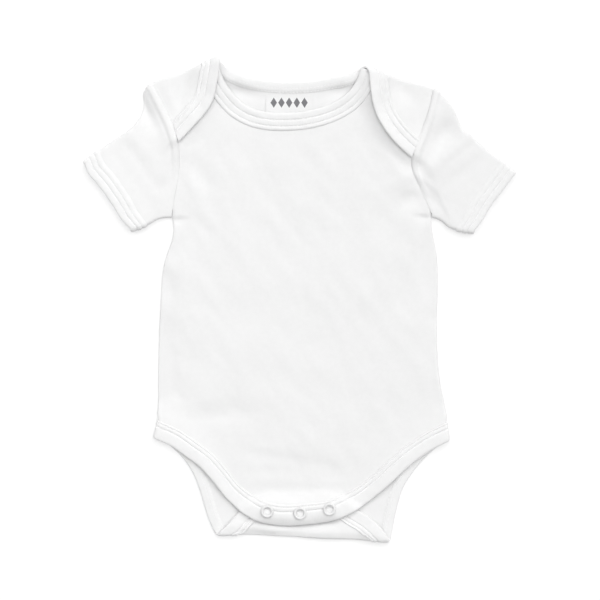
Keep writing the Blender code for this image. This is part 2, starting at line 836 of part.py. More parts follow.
class Sleeve:
    """A short sleeve, pressed flat. Its pattern points are (turn, inset), where turn counts in
    hundredths: 0 to 1 crosses the upper layer from the top to the underarm, 1 to 2 is the
    underarm's turn, 2 to 3 the lower layer and 3 to 4 the top's turn. inset is the distance from
    the cuff's edge."""

    def __init__(self, side):
        self.side = side
        count = 60
        self.shares = np.linspace(0, 1, count)
        armhole = evenly(smooth((SLEEVE_PIT[side],) + ARMHOLE[side], 3.0)[::-1], count)
        self.arm = armhole + side * ARMHOLE_GAP * left_normals(armhole)
        cuff = evenly(smooth(CUFF[side], 3.0), count)
        reach = np.linspace(2.3, CUFF_RADIUS + BAND_TOP, count)[:, None]
        top = evenly(smooth(SLEEVE_TOP[side], 3.0), count)
        under = evenly(smooth(SLEEVE_UNDER[side], 3.0), count)
        self.top_out = left_normals(top) * side
        self.under_out = left_normals(under) * -side
        fade = ((1 - self.shares) ** 4)[:, None]
        top = top - reach * self.top_out
        under = under - reach * self.under_out
        self.top = top + fade * (self.arm[0] - top[0])
        self.under = under + fade * (self.arm[-1] - under[0])
        share = self.shares[:, None]
        self.cuff = cuff + (1 - share) * (self.top[-1] - cuff[0])
        self.cuff += share * (self.under[-1] - cuff[-1])
        self.lengths = np.linalg.norm(self.arm - self.cuff, axis=1)
        lap_end = LAP_EDGE[side][-1][1]
        on_lap = step(lap_end + 4 - self.arm[:, 1], 0.0, 6.0)
        front = front_height(self.arm)
        self.body = front + on_lap * (lap_height(side, self.arm) - front)
        self.ridge = step(lap_end - 8 - self.arm[:, 1], 0.0, 14.0)

    def read(self, table, share):
        if table.ndim == 1:
            return np.interp(share, self.shares, table)
        return np.stack([np.interp(share, self.shares, table[:, k]) for k in (0, 1)], axis=1)

    def plan(self, a, b):
        """The patch between armhole, cuff, top and underarm, at shares a across and b along."""
        a1, b1 = a[:, None], b[:, None]
        patch = (1 - a1) * self.read(self.top, b) + a1 * self.read(self.under, b)
        patch += (1 - b1) * self.read(self.arm, a) + b1 * self.read(self.cuff, a)
        corners = (1 - b1) * ((1 - a1) * self.arm[0] + a1 * self.arm[-1])
        corners += b1 * ((1 - a1) * self.cuff[0] + a1 * self.cuff[-1])
        return patch - corners

    def lay(self, points):
        turn, inset = points[:, 0] / TURN % 4, points[:, 1]
        a = across_share(turn)
        under_angle = math.pi * np.clip(turn - 1, 0, 1)
        angle = np.where(turn < 3, under_angle, math.pi * (4 - turn))
        length = self.read(self.lengths, a)
        b = 1 - inset / length
        plan = self.plan(a, b)
        low = HALF + BAND_STEP * step(inset, BAND_OUT + 1, FALL)
        cuff = step(inset, BAND_OUT + 1, 2 * FALL)
        puff = folds_height(plan, SLEEVE_FOLDS[self.side]) * (1 - cuff)
        high = SLEEVE_HEIGHT + puff
        high += cuff * (low + 2 * CUFF_RADIUS - high)
        from_body = length - inset
        high += step(from_body, 1.0, 22.0) * (self.read(self.body, a) - high)
        ridge = np.exp(-(((from_body - 3.4) / RIDGE_WIDTH) ** 2))
        high += RIDGE_HEIGHT * ridge * self.read(self.ridge, a)
        radius = (high - low) / 2
        under, top = self.read(self.under_out, b), self.read(self.top_out, b)
        outward = np.where((turn < 2.5)[:, None], under, top)
        plan = plan + (radius * np.sin(angle))[:, None] * outward
        return np.column_stack([plan, (high + low) / 2 + radius * np.cos(angle)])


UPPER_STEPS, TURN_STEPS, LOWER_STEPS = 8, 4, 6


def sleeve_turns():
    upper = np.linspace(0, 1, UPPER_STEPS, endpoint=False)
    under = np.linspace(1, 2, TURN_STEPS, endpoint=False)
    lower = np.linspace(2, 3, LOWER_STEPS, endpoint=False)
    top = np.linspace(3, 4, TURN_STEPS, endpoint=False)
    return np.concatenate([upper, under, lower, top]) * TURN


SLEEVE_ROWS = (0.0, 0.04, 0.1, 0.2, 0.4, 0.68)


def make_sleeve(sleeve, name, colour):
    """The sleeve's tube, from the binding's inside to the armhole."""
    turns = sleeve_turns()
    lengths = sleeve.read(sleeve.lengths, across_share(turns / TURN))
    rings = []
    for share in SLEEVE_ROWS:
        inset = lengths - share * (lengths - BAND_OUT)
        rings.append(np.column_stack([turns, inset]))
    rings += [RingEdge(turns).row(inset) for inset in (BAND_OUT, BAND_IN, BAND_STEP)]
    places = []
    for out in (HALF, -HALF):
        for ring in rings:
            places.append(moved_out(sleeve.lay, ring, np.full(len(ring), -sleeve.side * out)))
    count, size = len(rings), len(turns)
    faces = []
    for i in range(size):
        j = (i + 1) % size
        for k in range(count - 1):
            faces.append((k * size + i, k * size + j, (k + 1) * size + j, (k + 1) * size + i))
            inner = [(count + k) * size, (count + k + 1) * size]
            faces.append((inner[0] + i, inner[1] + i, inner[1] + j, inner[0] + j))
        last, inner_last = (count - 1) * size, (2 * count - 1) * size
        faces.append((count * size + i, count * size + j, j, i))
        faces.append((last + i, last + j, inner_last + j, inner_last + i))
    return build_mesh(name, np.concatenate(places), faces, colour, 0.9)


def armhole_points(side):
    """Up the armhole, from the side seam's top to the shoulder."""
    pit = np.array([ARMPIT[side]])
    start = (float(seam_x(side, pit)[0]), ARMPIT[side])
    return smooth((start,) + ARMHOLE[side], STATION)


def cut_at(fold, line, limit):
    """A line that climbs towards a fold, ended where it is limit beyond it."""
    along, beyond = fold.split(line)
    end = fold.at(np.interp(limit, beyond, along), limit)
    return np.concatenate([line[beyond < limit - 1.0], end[None]])


STRIP_ROWS = (BAND_STEP, BAND_IN, BAND_OUT)


def side_chains(side, leg):
    """The points up a side seam from the leg's binding to the armpit, and up its roll's rows."""
    end = -1 if side == LEFT else 0
    under_band = np.array([leg.row(inset)[end] for inset in (BAND_IN, BAND_OUT)])
    seam, *roll = seam_rows(side, under_band[-1][1], ARMPIT[side])
    return np.concatenate([under_band, seam[1:-1]]), [row[1:-1] for row in roll]


def make_front(leg, neck, colour):
    strips = [[edge.row(inset) for inset in STRIP_ROWS] for edge in (leg, neck)]
    hem, collar = strips[0][0], strips[1][0]
    for fold in SHOULDER.values():
        collar = collar[fold.split(collar)[1] < 0.6 - SHOULDER_INSET]
    chains, rows = {}, []
    for side, fold in SHOULDER.items():
        seam, roll = side_chains(side, leg)
        rows += roll
        arm = cut_at(fold, armhole_points(side), -SHOULDER_INSET)
        ends = np.array([arm[-1], collar[0 if side == LEFT else -1]])
        reach = np.linspace(*fold.split(ends)[0], 8)[1:-1]
        shoulder = fold.at(reach, -SHOULDER_INSET)
        chains[side] = np.concatenate([seam, arm, shoulder])
    loop = np.concatenate([hem, chains[LEFT], collar, chains[RIGHT][::-1]])
    return wall_from("front", laid_front, loop, strips, rows, [], colour)


def make_back(leg, neck, colour):
    strips = [[edge.row(inset) for inset in STRIP_ROWS] for edge in (leg, neck)]
    hem, collar = strips[0][0], strips[1][0]
    parts = [hem]
    lines, rows = [], label_rows()
    for side in (LEFT, RIGHT):
        seam, roll = side_chains(side, leg)
        rows += roll
        fold = SHOULDER[side]
        arm = armhole_points(side)
        lap_end = collar[0 if side == LEFT else -1]
        over = fold.unfold(arm)
        far = fold.split(lap_end[None])[1][0]
        over = over[fold.split(over)[1] < far - 2.0][::-1]
        top = fold.split(arm[-1:])[0][0]
        turn = fold_stations(fold, top, top)[:-1]
        chain = np.concatenate([seam, arm, turn, over])
        parts += [chain, collar] if side == LEFT else [chain[::-1]]
        columns = np.linspace(BAND_OUT + 9, top - 6, 4)
        for k in range(FOLD_STEPS + 1):
            rows.append(fold.at(columns, FOLD_TURN * k / FOLD_STEPS))
            lines.append((fold, FOLD_TURN * k / FOLD_STEPS))
    width = np.linalg.norm(np.subtract(BACK_LEG[RIGHT][-1], BACK_LEG[LEFT][-1]))
    columns = np.linspace(BAND_OUT + 12, width - BAND_OUT - 12, 9)
    for k in range(FOLD_STEPS + 1):
        rows.append(CROTCH.at(columns, FOLD_TURN * k / FOLD_STEPS))
        lines.append((CROTCH, FOLD_TURN * k / FOLD_STEPS))
    return wall_from("back", laid_back, np.concatenate(parts), strips, rows, lines, colour)


def label_rows():
    """The label's pattern points, row by row from its lower edge."""
    half = np.array([LABEL_WIDTH, LABEL_HEIGHT]) / 2
    x = np.linspace(-half[0], half[0], LABEL_COLUMNS)
    return [
        np.column_stack([x, np.full(LABEL_COLUMNS, y)]) + LABEL_CENTRE
        for y in np.linspace(-half[1], half[1], LABEL_ROWS)
    ]


def make_label(colour):
    rows = label_rows()
    right_side = np.array([row[-1] for row in rows[1:-1]])
    left_side = np.array([row[0] for row in rows[1:-1]])
    loop = np.concatenate([rows[0], right_side, rows[-1][::-1], left_side[::-1]])
    low, high = HALF + SEAM, HALF + SEAM + WALL
    inner = [row[1:-1] for row in rows[1:-1]]
    return wall_from("neck_label", laid_back, loop, [], inner, [], colour, low, high)


# A snap's ring: radius, height
RING_PROFILE = (
    (3.0, 0.0),
    (4.8, 0.0),
    (SNAP_RADIUS, 0.35),
    (4.8, 0.85),
    (4.0, SNAP_HEIGHT),
    (3.1, 0.85),
    (2.8, 0.4),
)
DISC_PROFILE = ((0.0, 0.0), (STUD_RADIUS, 0.0), (STUD_RADIUS, STUD_HEIGHT), (0.0, STUD_HEIGHT))


def turned(name, centre, axis, profile, colour, roughness):
    """A solid turned about an axis from a profile of (radius, height)."""
    side = np.cross(axis, (0.0, 1.0, 0.0))
    side /= np.linalg.norm(side)
    other = np.cross(axis, side)
    places, rings = [], []
    for radius, height in profile:
        turns = SNAP_SEGMENTS if radius > 0 else 1
        rings.append(range(len(places), len(places) + turns))
        for i in range(turns):
            angle = 2 * math.pi * i / SNAP_SEGMENTS
            spoke = math.cos(angle) * side + math.sin(angle) * other
            places.append(centre + height * axis + radius * spoke)
    faces = []
    closed = profile[0][0] > 0
    for k in range(len(rings) if closed else len(rings) - 1):
        here, there = rings[k], rings[(k + 1) % len(rings)]
        for i in range(SNAP_SEGMENTS):
            j = (i + 1) % SNAP_SEGMENTS
            loop = [here[i % len(here)], here[j % len(here)]]
            loop += [there[j % len(there)], there[i % len(there)]]
            faces.append(tuple(dict.fromkeys(loop)))
    return build_mesh(name, np.array(places), faces, colour, roughness)


def make_snaps(cap_colour, stud_colour):
    points = np.array(SNAP_POINTS)
    tops = moved_out(laid_front, points, np.full(len(points), BAND_TOP + SEAM))
    feet = moved_out(laid_front, points, np.full(len(points), BAND_TOP))
    for i, (top, foot) in enumerate(zip(tops, feet), 1):
        axis = (top - foot) / np.linalg.norm(top - foot)
        turned(f"snap_cap_{i}", top, axis, RING_PROFILE, cap_colour, 0.4)
        base = foot - axis * (2 * BAND_TOP + 2 * SEAM + STUD_HEIGHT)
        turned(f"snap_stud_{i}", base, axis, DISC_PROFILE, stud_colour, 0.4)


COTTON = (0.86, 0.86, 0.86)
RIB = (0.9, 0.9, 0.9)
SATIN = (0.8, 0.8, 0.81)
PLASTIC = (0.72, 0.73, 0.75)


def main():
    for thing in list(bpy.data.objects):
        bpy.data.objects.remove(thing, do_unlink=True)
    front_leg, front_neck = front_leg_edge(), front_neck_edge()
    back_leg, back_neck = back_leg_edge(), back_neck_edge()
    make_front(front_leg, front_neck, COTTON)
    make_back(back_leg, back_neck, COTTON)
    binding("neck_binding_front", laid_front, front_neck, 1, False, RIB)
    binding("leg_binding_front", laid_front, front_leg, 1, False, RIB)
    binding("neck_binding_back", laid_back, back_neck, -1, False, RIB)
    binding("leg_binding_back", laid_back, back_leg, -1, False, RIB)
    ring = RingEdge(sleeve_turns())
    for side, word in SIDES.items():
        sleeve = Sleeve(side)
        make_sleeve(sleeve, f"sleeve_{word}", COTTON)
        binding(f"cuff_binding_{word}", sleeve.lay, ring, -side, True, RIB)
    make_label(SATIN)
    make_snaps(PLASTIC, PLASTIC)


main()
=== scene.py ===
"""Looks of a baby bodysuit with lap shoulders and a snapped crotch, laid flat, face up.

All sizes are millimetres, and a mesh is scaled to metres as it is made. X runs across the
garment, with the wearer's left at +X. Y runs up to the neck. Z = 0 is the surface that it lies on.
Each piece has the form of the solid that it stands for, in finer steps, with creases and stitches.
"""

import math

import bpy
import numpy as np
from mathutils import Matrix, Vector, noise
from mathutils.geometry import delaunay_2d_cdt, tessellate_polygon


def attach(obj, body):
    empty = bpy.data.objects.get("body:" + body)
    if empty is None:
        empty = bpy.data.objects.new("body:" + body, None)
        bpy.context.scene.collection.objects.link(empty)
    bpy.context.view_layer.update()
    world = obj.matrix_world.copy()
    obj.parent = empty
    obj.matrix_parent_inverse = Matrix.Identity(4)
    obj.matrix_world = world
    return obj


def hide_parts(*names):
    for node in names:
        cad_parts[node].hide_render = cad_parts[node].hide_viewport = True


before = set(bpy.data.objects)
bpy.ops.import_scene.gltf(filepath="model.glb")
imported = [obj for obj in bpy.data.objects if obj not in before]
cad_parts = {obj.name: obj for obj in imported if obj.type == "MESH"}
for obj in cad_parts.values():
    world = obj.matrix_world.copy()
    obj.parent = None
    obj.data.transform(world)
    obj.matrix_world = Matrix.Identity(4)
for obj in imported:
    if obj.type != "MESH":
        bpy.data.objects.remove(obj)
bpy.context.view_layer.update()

MM = 0.001
RIGHT, LEFT = -1, 1
SIDES = {RIGHT: "right", LEFT: "left"}

# Cloth: the solid's wall, the gap at a seam, and half of the shell that shows
WALL, SEAM, SKIN = 1.0, 0.3, 0.38
HALF = WALL / 2

# Bindings: how far the two legs reach, how far the cloth inside stays back from the fold, and how
# far each leg lifts what lies on it
BAND_OUT, BAND_IN = 14.0, 9.0
BAND_STEP = WALL + SEAM
BAND_RISE, INNER_STEP = 1.1, 0.85
BAND_TOP = HALF + BAND_RISE
OVER_IN = BAND_IN + 1

# Heights of the layers, and over how far they ease out
FALL = 14.0
BODY_LOFT, EDGE_LOFT, LEAST_LOFT = 1.65, 0.35, 0.05
NECK_RISE, NECK_FALL = 1.5, 13.0
STUD_ROOM, STUD_REACH = 1.0, 5.5
LEDGE_SHARE, LEDGE_FALL, UNDER_FALL = 0.94, 3.4, 40.0
CREASE_LEAST, LABEL_REACH = 0.25, 1.5

# The front rises under both laps. The left lap is loose round one spot, with a plateau and a fall
LAP_RISE, RIGHT_LAP_RISE, LAP_RISE_FALL = 3.8, 1.5, 13.0
LAP_LEAST, LEFT_LAP_LIFT = 0.3, 0.7
LOOSE_SPOT, LOOSE_REACH = (60.0, 139.0), (10.0, 34.0)

# Sleeves: height, the cuff's half height, the rolled seam on the lap, the dip at the seam, and
# how the top's radius, the step onto the lap, the rolled seam and the puff ease out
SLEEVE_HEIGHT, CUFF_RADIUS = 5.2, 2.1
RIDGE_HEIGHT, RIDGE_REACH, RIDGE_FALL, RIDGE_START = 1.1, 4.6, 2.6, 1.2
SEAM_DIP, SEAM_REACH = 0.4, 1.7
SHOULDER_RADIUS, LAP_REACH, LAP_FALL, RIDGE_LENGTH, PUFF_FALL = 2.3, 4.0, 6.0, 30.0, 22.0

# Turns: folds at the shoulders and crotch, and rolls at the side seams. A sleeve's turn round its
# tube is in hundredths
FOLD_RADIUS, FOLD_STEPS = 3.0, 9
FOLD_TURN = math.pi * FOLD_RADIUS
ROLL_RADIUS, ROLL_STEPS = 1.5, 4
ROLL_TURN = math.pi / 2 * ROLL_RADIUS
ROLL_SLOPE, ROLL_SHARE = 0.45, 0.97
ROLL_EDGE, ROLL_EASE, NO_ROLL, NO_ROLL_FROM = 4.0, 6.0, 1000.0, 12.0
SHOULDER_INSET, ARMHOLE_GAP, SIDE_GAP = 2.0, 0.08, 0.06
FOLD_REGION, FLOOR_CLEAR = 20.0, 0.02
TURN = 100.0

# Spacing: of the meshes, of the lines that only heights use, and along the sleeves
STATION = GRID = 1.8
NECK_STATION = STATION * 0.8
PLAN, FINE_PLAN = 4.0, 3.0
RIM_CLEAR, ROW_CLEAR, JOIN_CLEAR, COLLAR_CLEAR, LAP_CLEAR = 0.35, 0.5, 4.0, 0.6, 0.8
LEAN_REACH, SHOULDER_POINTS = 18.0, 24
SLEEVE_STATIONS, SLEEVE_ROWS = 60, 40
SLEEVE_UPPER, SLEEVE_TURN, SLEEVE_LOWER = 52, 8, 36
SEAM_INSETS = (0.0, 0.5, 1.0, 1.6, 2.2, 2.8, 3.4, 4.0, 4.8, 5.8, 7.0)

# The body's sides: height y, right edge x, left edge x
SIDE_ROWS = (
    (64.0, -99.5, 103.0), (55.4, -98.5, 103.6), (46.8, -99.6, 105.4), (36.7, -103.4, 107.2),
    (23.4, -106.9, 108.2), (3.9, -108.3, 108.2), (-19.5, -109.6, 107.7), (-62.4, -110.5, 109.8),
    (-81.9, -110.7, 113.6), (-95.2, -112.1, 116.1), (-107.6, -114.9, 117.6),
    (-116.0, -116.8, 118.6),
)
# Seams and bound edges, as points (x, y)
ARMHOLE = {
    RIGHT: (
        (-97.9, 78.0), (-95.2, 92.0), (-93.6, 106.9), (-94.0, 120.1), (-97.5, 133.8),
        (-104.9, 150.2), (-113.9, 167.7),
    ),
    LEFT: (
        (99.5, 75.7), (94.0, 87.4), (88.9, 98.3), (87.0, 107.6), (88.9, 117.0), (94.8, 131.8),
        (100.2, 147.4), (104.0, 163.9),
    ),
}
ARMPIT = {RIGHT: 64.0, LEFT: 64.5}
LAP_EDGE = {
    RIGHT: (
        (-61.5, 185.6), (-62.9, 175.5), (-64.4, 166.9), (-66.3, 158.0), (-69.8, 150.2),
        (-75.3, 143.1), (-81.5, 136.1), (-94.1, 122.9),
    ),
    LEFT: (
        (53.8, 176.8), (55.2, 163.5), (56.9, 152.9), (60.1, 143.1), (65.9, 133.0), (72.9, 124.0),
        (80.0, 117.0), (87.3, 110.9),
    ),
}
BACK_NECK = (
    (-61.5, 185.6), (-58.6, 183.0), (-52.9, 179.0), (-42.5, 174.6), (-26.9, 171.2), (-7.4, 170.0),
    (9.8, 170.8), (25.4, 173.4), (35.5, 175.4), (40.5, 177.2), (44.9, 179.6),
)
FRONT_NECK = (
    (-62.4, 181.5), (-60.5, 174.7), (-56.9, 167.7), (-51.9, 161.1), (-44.9, 154.1), (-35.5, 149.0),
    (-24.6, 146.4), (-10.5, 145.9), (5.1, 147.2), (19.1, 150.9), (30.8, 156.4), (39.0, 163.0),
    (44.2, 170.6), (47.9, 180.4),
)
FRONT_LEG = (
    (-101.0, -113.5), (-88.5, -122.1), (-77.6, -130.3), (-69.8, -138.8), (-54.2, -157.6),
    (-45.6, -165.0), (-35.5, -171.2), (-23.0, -175.1), (-9.8, -176.1), (4.3, -175.2),
    (28.5, -171.4), (47.2, -162.2), (62.8, -150.2), (94.0, -122.9), (106.5, -115.0),
)
LEG_TOP = {RIGHT: -107.6, LEFT: -110.0}
# Where the leg edges run out past the side seams
FRONT_LEG_ENDS = (-115.5, LEG_TOP[RIGHT]), (117.8, LEG_TOP[LEFT])
FRONT_LEG_TIP = (118.0, LEG_TOP[LEFT])
BACK_LEG_END = 116.0
BACK_LEG = {
    RIGHT: (
        (-104.1, -111.9), (-96.3, -118.2), (-90.1, -124.8), (-83.9, -134.2), (-78.4, -147.4),
        (-74.5, -160.7), (-70.6, -172.4), (-66.7, -181.2),
    ),
    LEFT: (
        (106.5, -115.8), (97.1, -124.4), (87.8, -135.3), (80.7, -147.4), (76.8, -159.9),
        (74.1, -171.6), (71.4, -186.2),
    ),
}
FLAP_EDGE = (
    (-62.4, -181.3), (-55.8, -174.7), (-47.2, -165.4), (-38.6, -158.7), (-28.5, -156.0),
    (0.4, -157.2), (23.8, -154.1), (33.9, -156.4), (44.1, -163.0), (55.0, -169.7), (63.6, -177.5),
    (69.4, -186.1),
)
SNAP_POINTS = ((-25.1, -164.3), (0.4, -165.8), (23.2, -162.6))
LABEL_WIDTH, LABEL_HEIGHT = 36.0, 17.0
LABEL_CENTRE = (-8.1, 151.9)

# Sleeves: outlines from the body to the cuff, and the cuff from top to underarm
SLEEVE_TOP = {
    RIGHT: (
        (-115.0, 170.0), (-122.1, 162.2), (-123.6, 152.1), (-125.2, 144.3), (-128.3, 138.1),
        (-133.8, 132.6), (-141.6, 127.9), (-158.0, 117.0), (-169.7, 108.4),
    ),
    LEFT: (
        (104.9, 166.1), (109.6, 161.5), (121.3, 148.2), (125.2, 140.4), (129.1, 132.6),
        (134.6, 127.9), (147.0, 117.8), (158.7, 109.2), (169.7, 99.8),
    ),
}
SLEEVE_PIT = {RIGHT: (-99.7, 65.9), LEFT: (103.4, 66.4)}
SLEEVE_UNDER = {
    RIGHT: (
        (-100.2, 64.0), (-108.0, 63.2), (-116.6, 58.5), (-124.4, 54.6), (-131.4, 52.3),
    ),
    LEFT: (
        (103.7, 64.7), (110.4, 61.6), (115.8, 56.2), (125.2, 52.6), (136.1, 50.7),
    ),
}
CUFF = {
    RIGHT: (
        (-169.7, 108.4), (-166.5, 100.6), (-159.5, 92.0), (-143.9, 69.4), (-137.7, 59.3),
        (-131.4, 52.3),
    ),
    LEFT: (
        (169.7, 99.8), (160.3, 86.6), (148.6, 70.2), (141.6, 57.7), (136.1, 50.7),
    ),
}

# Soft folds and creases: centre x, y, length, width, direction in degrees, height
FOLD_GAIN = 1.7
FRONT_FOLDS = (
    (-92, 18, 30, 12, 80, 0.7),
    (-96, -60, 40, 11, 85, 0.6),
    (-97, 37, 22, 9, 60, -0.6),
    (-96, -74, 20, 8, -45, -0.5),
    (-66, -86, 45, 14, 5, -0.5),
    (-5, -134, 80, 12, 3, -0.5),
    (-84, 92, 26, 10, -60, 0.7),
    (86, 80, 26, 10, 60, -0.6),
    (84, 96, 22, 9, 25, 0.6),
    (98, 34, 60, 8, 92, -0.5),
    (-84, 122, 18, 7, 45, -0.5),
    (78, 108, 24, 8, -40, -0.5),
    (25, 10, 70, 22, 70, 0.35),
    (-30, -30, 80, 24, 100, 0.3),
)
FRONT_CREASES = (
    (-113, -58, 70, 44, 90, -3.2),
    (-110, 10, 26, 34, 85, -1.8),
    (-100, 31, 22, 9, 70, 1),
    (-74, 95, 32, 22, -50, -1.3),
    (-66, -92, 56, 12, 6, -0.9),
    (50, 147, 20, 12, -30, -1),
    (84, 88, 18, 10, -10, 0.8),
    (88, 78, 18, 9, 20, -1.2),
    (112, 30, 66, 30, 92, -2.4),
    (108, -14, 14, 12, 85, -1),
    (-12, -124, 66, 10, -8, -0.9),
    (14, -140, 54, 8, 6, -0.8),
    (-34, -141, 40, 8, 12, 0.5),
    (-1, -149, 78, 9, 2, -3.2),
    (-82, 124, 26, 5, 38, 0.5),
    (-88, 116, 22, 5, 30, 0.5),
    (74, 108, 26, 6, -38, 0.7),
    (80, 98, 24, 6, -30, 0.5),
)
LAP_CREASES = {
    RIGHT: (
        (-92, 160, 30, 9, 80, -1.3),
        (-82, 152, 26, 9, 60, 0.8),
        (-101, 158, 34, 9, 110, 0.9),
        (-88, 140, 20, 8, 60, 0.7),
    ),
    LEFT: (
        (80, 163, 26, 14, -40, -1.6),
        (80, 142, 34, 12, 115, 1.1),
        (95, 150, 34, 10, 80, -1.1),
    ),
}
BACK_CREASES = (
    (-20, 158, 20, 8, 60, 0.25),
    (-60, 60, 60, 14, 70, 0.6),
    (50, 30, 90, 16, 100, 0.7),
    (-20, -20, 100, 18, 60, 0.5),
    (30, -80, 70, 14, 30, 0.6),
    (-50, -70, 60, 12, 110, 0.5),
    (0, 110, 70, 12, 10, 0.4),
    (-76, -150, 40, 9, 70, 0.6),
    (82, -150, 40, 10, 100, 0.8),
    (86, -128, 30, 8, 60, 0.5),
)
NECK_CREASES = (
    (-46, 171, 28, 13, -14, 2),
    (-46, 162.5, 26, 8, -14, -1.2),
    (34, 171.5, 24, 12, 12, 1.6),
    (33, 163.5, 22, 8, 12, -1.1),
)
FLAP_CREASES = (
    (-20, -187, 44, 11, -4, -3.6),
    (26, -182.6, 76, 11, -1, 2.6),
    (-24, -179.5, 36, 8, -6, 3.2),
    (24, -178, 44, 9, 12, 0.9),
    (50, -182, 26, 8, -30, 0.6),
)
SLEEVE_CREASES = {
    RIGHT: (
        (-120, 152, 40, 16, 113, -4.6),
        (-99, 84, 26, 14, -35, -1.5),
        (-128, 124, 42, 9, -48, 0.4),
        (-136, 103, 46, 9, -46, 0.6),
        (-122, 101, 46, 9, -54, -1),
        (-148, 113, 34, 8, -44, -0.8),
        (-118, 82, 34, 12, -20, 0.9),
    ),
    LEFT: (
        (110, 128, 46, 26, 38, -4),
        (117, 116, 50, 9, 38, 1),
        (119, 116, 54, 10, 43, 1.3),
        (113, 146, 40, 12, -48, 0.9),
        (132, 112, 36, 9, 30, 0.6),
        (128, 98, 40, 10, 40, -0.8),
        (142, 96, 36, 9, -35, 0.5),
        (116, 76, 36, 9, -20, -0.8),
        (100, 93, 34, 12, -62, -0.4),
    ),
}
UNDER_CREASES = {
    RIGHT: ((-126, 110, 50, 11, 40, 0.7), (-130, 84, 40, 10, 70, 0.6)),
    LEFT: ((124, 110, 50, 11, -40, 0.7), (132, 82, 40, 10, -70, 0.6)),
}

# Sharp tucks: x, y, length, direction in degrees, drop
FRONT_TUCKS = ((97.5, 65.8, 16, -4, 1.5), (-95, 64, 17, 4, 1.4))
TUCK_FALL, TUCK_EDGE = 5.0, 0.45

# Ripples: length, width, direction in degrees, height
FRONT_RIPPLES = (
    (46, 30, 70, 0.9),
    (30, 11, -55, 0.5),
    (28, 12, 60, 0.36),
    (14, 7, -62, 0.2),
    (9, 6, 20, 0.1),
)
BACK_RIPPLES = ((40, 26, 60, 0.6), (24, 11, -40, 0.3), (11, 7, 30, 0.12))
FLAP_RIPPLES = ((22, 9, 10, 0.5), (10, 6, -40, 0.15))
SLEEVE_RIPPLES = ((26, 13, -45, 0.5), (20, 10, 35, 0.35), (9, 6, 0, 0.12))


def unit(vectors):
    return vectors / np.linalg.norm(vectors, axis=1, keepdims=True)


def run_of(line):
    """How far along a line each of its points is."""
    return np.concatenate([[0], np.cumsum(np.linalg.norm(np.diff(line, axis=0), axis=1))])


def read_at(at, run, table):
    """The columns of a table, read at places along its run."""
    return np.stack([np.interp(at, run, column) for column in table.T], axis=1)


def smooth(rows, spacing):
    """Points about every spacing along a smooth curve through the rows."""
    knots = np.array(rows, float)
    gaps = np.linalg.norm(np.diff(knots, axis=0), axis=1)
    slopes = np.diff(knots, axis=0) / gaps[:, None]
    tangents = np.empty_like(knots)
    before, after = gaps[:-1, None], gaps[1:, None]
    tangents[1:-1] = (slopes[:-1] * after + slopes[1:] * before) / (before + after)
    tangents[0] = 1.5 * slopes[0] - 0.5 * tangents[1]
    tangents[-1] = 1.5 * slopes[-1] - 0.5 * tangents[-2]
    starts = run_of(knots)
    at = np.linspace(0, starts[-1], 40 * len(knots))
    i = np.clip(np.searchsorted(starts, at, side="right") - 1, 0, len(gaps) - 1)
    h = gaps[i, None]
    f = (at - starts[i])[:, None] / h
    line = (1 + 2 * f) * (1 - f) ** 2 * knots[i] + f * (1 - f) ** 2 * h * tangents[i]
    line += f**2 * (3 - 2 * f) * knots[i + 1] - f**2 * (1 - f) * h * tangents[i + 1]
    return evenly(line, max(2, round(run_of(line)[-1] / spacing) + 1))


def evenly(line, count):
    """The same line, with count points evenly spaced along it."""
    run = run_of(line)
    return read_at(np.linspace(0, run[-1], count), run, line)


def left_normals(line):
    tangents = unit(np.gradient(line, axis=0))
    return np.stack([-tangents[:, 1], tangents[:, 0]], axis=1)


def inside(points, loop):
    """Which points lie inside a closed loop."""
    x, y = points[:, :1], points[:, 1:]
    ax, ay = loop.T
    bx, by = np.roll(loop, -1, axis=0).T
    spans = (ay > y) != (by > y)
    rise = np.where(by == ay, 1, by - ay)
    return (spans & (x < ax + (y - ay) / rise * (bx - ax))).sum(axis=1) % 2 == 1


def away(points, line):
    """Each point's distance to the nearest place on a line."""
    start, run = line[:-1], np.diff(line, axis=0)
    found = []
    for some in np.array_split(points, max(1, len(points) * len(line) // 400000)):
        offset = some[:, None] - start
        share = np.clip((offset * run).sum(-1) / (run**2).sum(-1), 0, 1)
        found.append(np.linalg.norm(offset - share[..., None] * run, axis=2).min(axis=1))
    return np.concatenate(found)


def step(distance, plateau, fall):
    """1 up to the plateau's end, easing to 0 over the fall."""
    x = np.clip((plateau + fall - distance) / fall, 0, 1)
    return x * x * (3 - 2 * x)


def turned_by(dx, dy, degrees):
    """Coordinates along a direction and across it."""
    turn = math.radians(degrees)
    return dx * math.cos(turn) + dy * math.sin(turn), dy * math.cos(turn) - dx * math.sin(turn)


def folds_height(points, folds):
    """The height that a table of soft folds adds."""
    height = np.zeros(len(points))
    for x, y, length, width, degrees, rise in folds:
        along, across = turned_by(points[:, 0] - x, points[:, 1] - y, degrees)
        height += rise * np.exp(-((along / (length / 2)) ** 2) - (across / (width / 2)) ** 2)
    return height


def ripples(points, table, seed):
    """Small uneven waves."""
    height = np.zeros(len(points))
    for k, (length, width, degrees, rise) in enumerate(table):
        along, across = turned_by(points[:, 0], points[:, 1], degrees)
        for i, (x, y) in enumerate(zip(along / length, across / width)):
            height[i] += rise * noise.noise((x, y, seed + 7.3 * k))
    return height


def tucks(points, table):
    """Sharp tucks. The cloth drops on the right of each line, and comes back slowly."""
    height = np.zeros(len(points))
    for x, y, length, degrees, drop in table:
        along, across = turned_by(points[:, 0] - x, points[:, 1] - y, degrees)
        sharp = 1 / (1 + np.exp(-np.clip(-across / TUCK_EDGE, -30, 30)))
        slow = 1.5 * (along / (length / 2)) ** 2 + (np.maximum(-across, 0) / TUCK_FALL) ** 2
        height -= drop * sharp * np.exp(-slow)
    return height


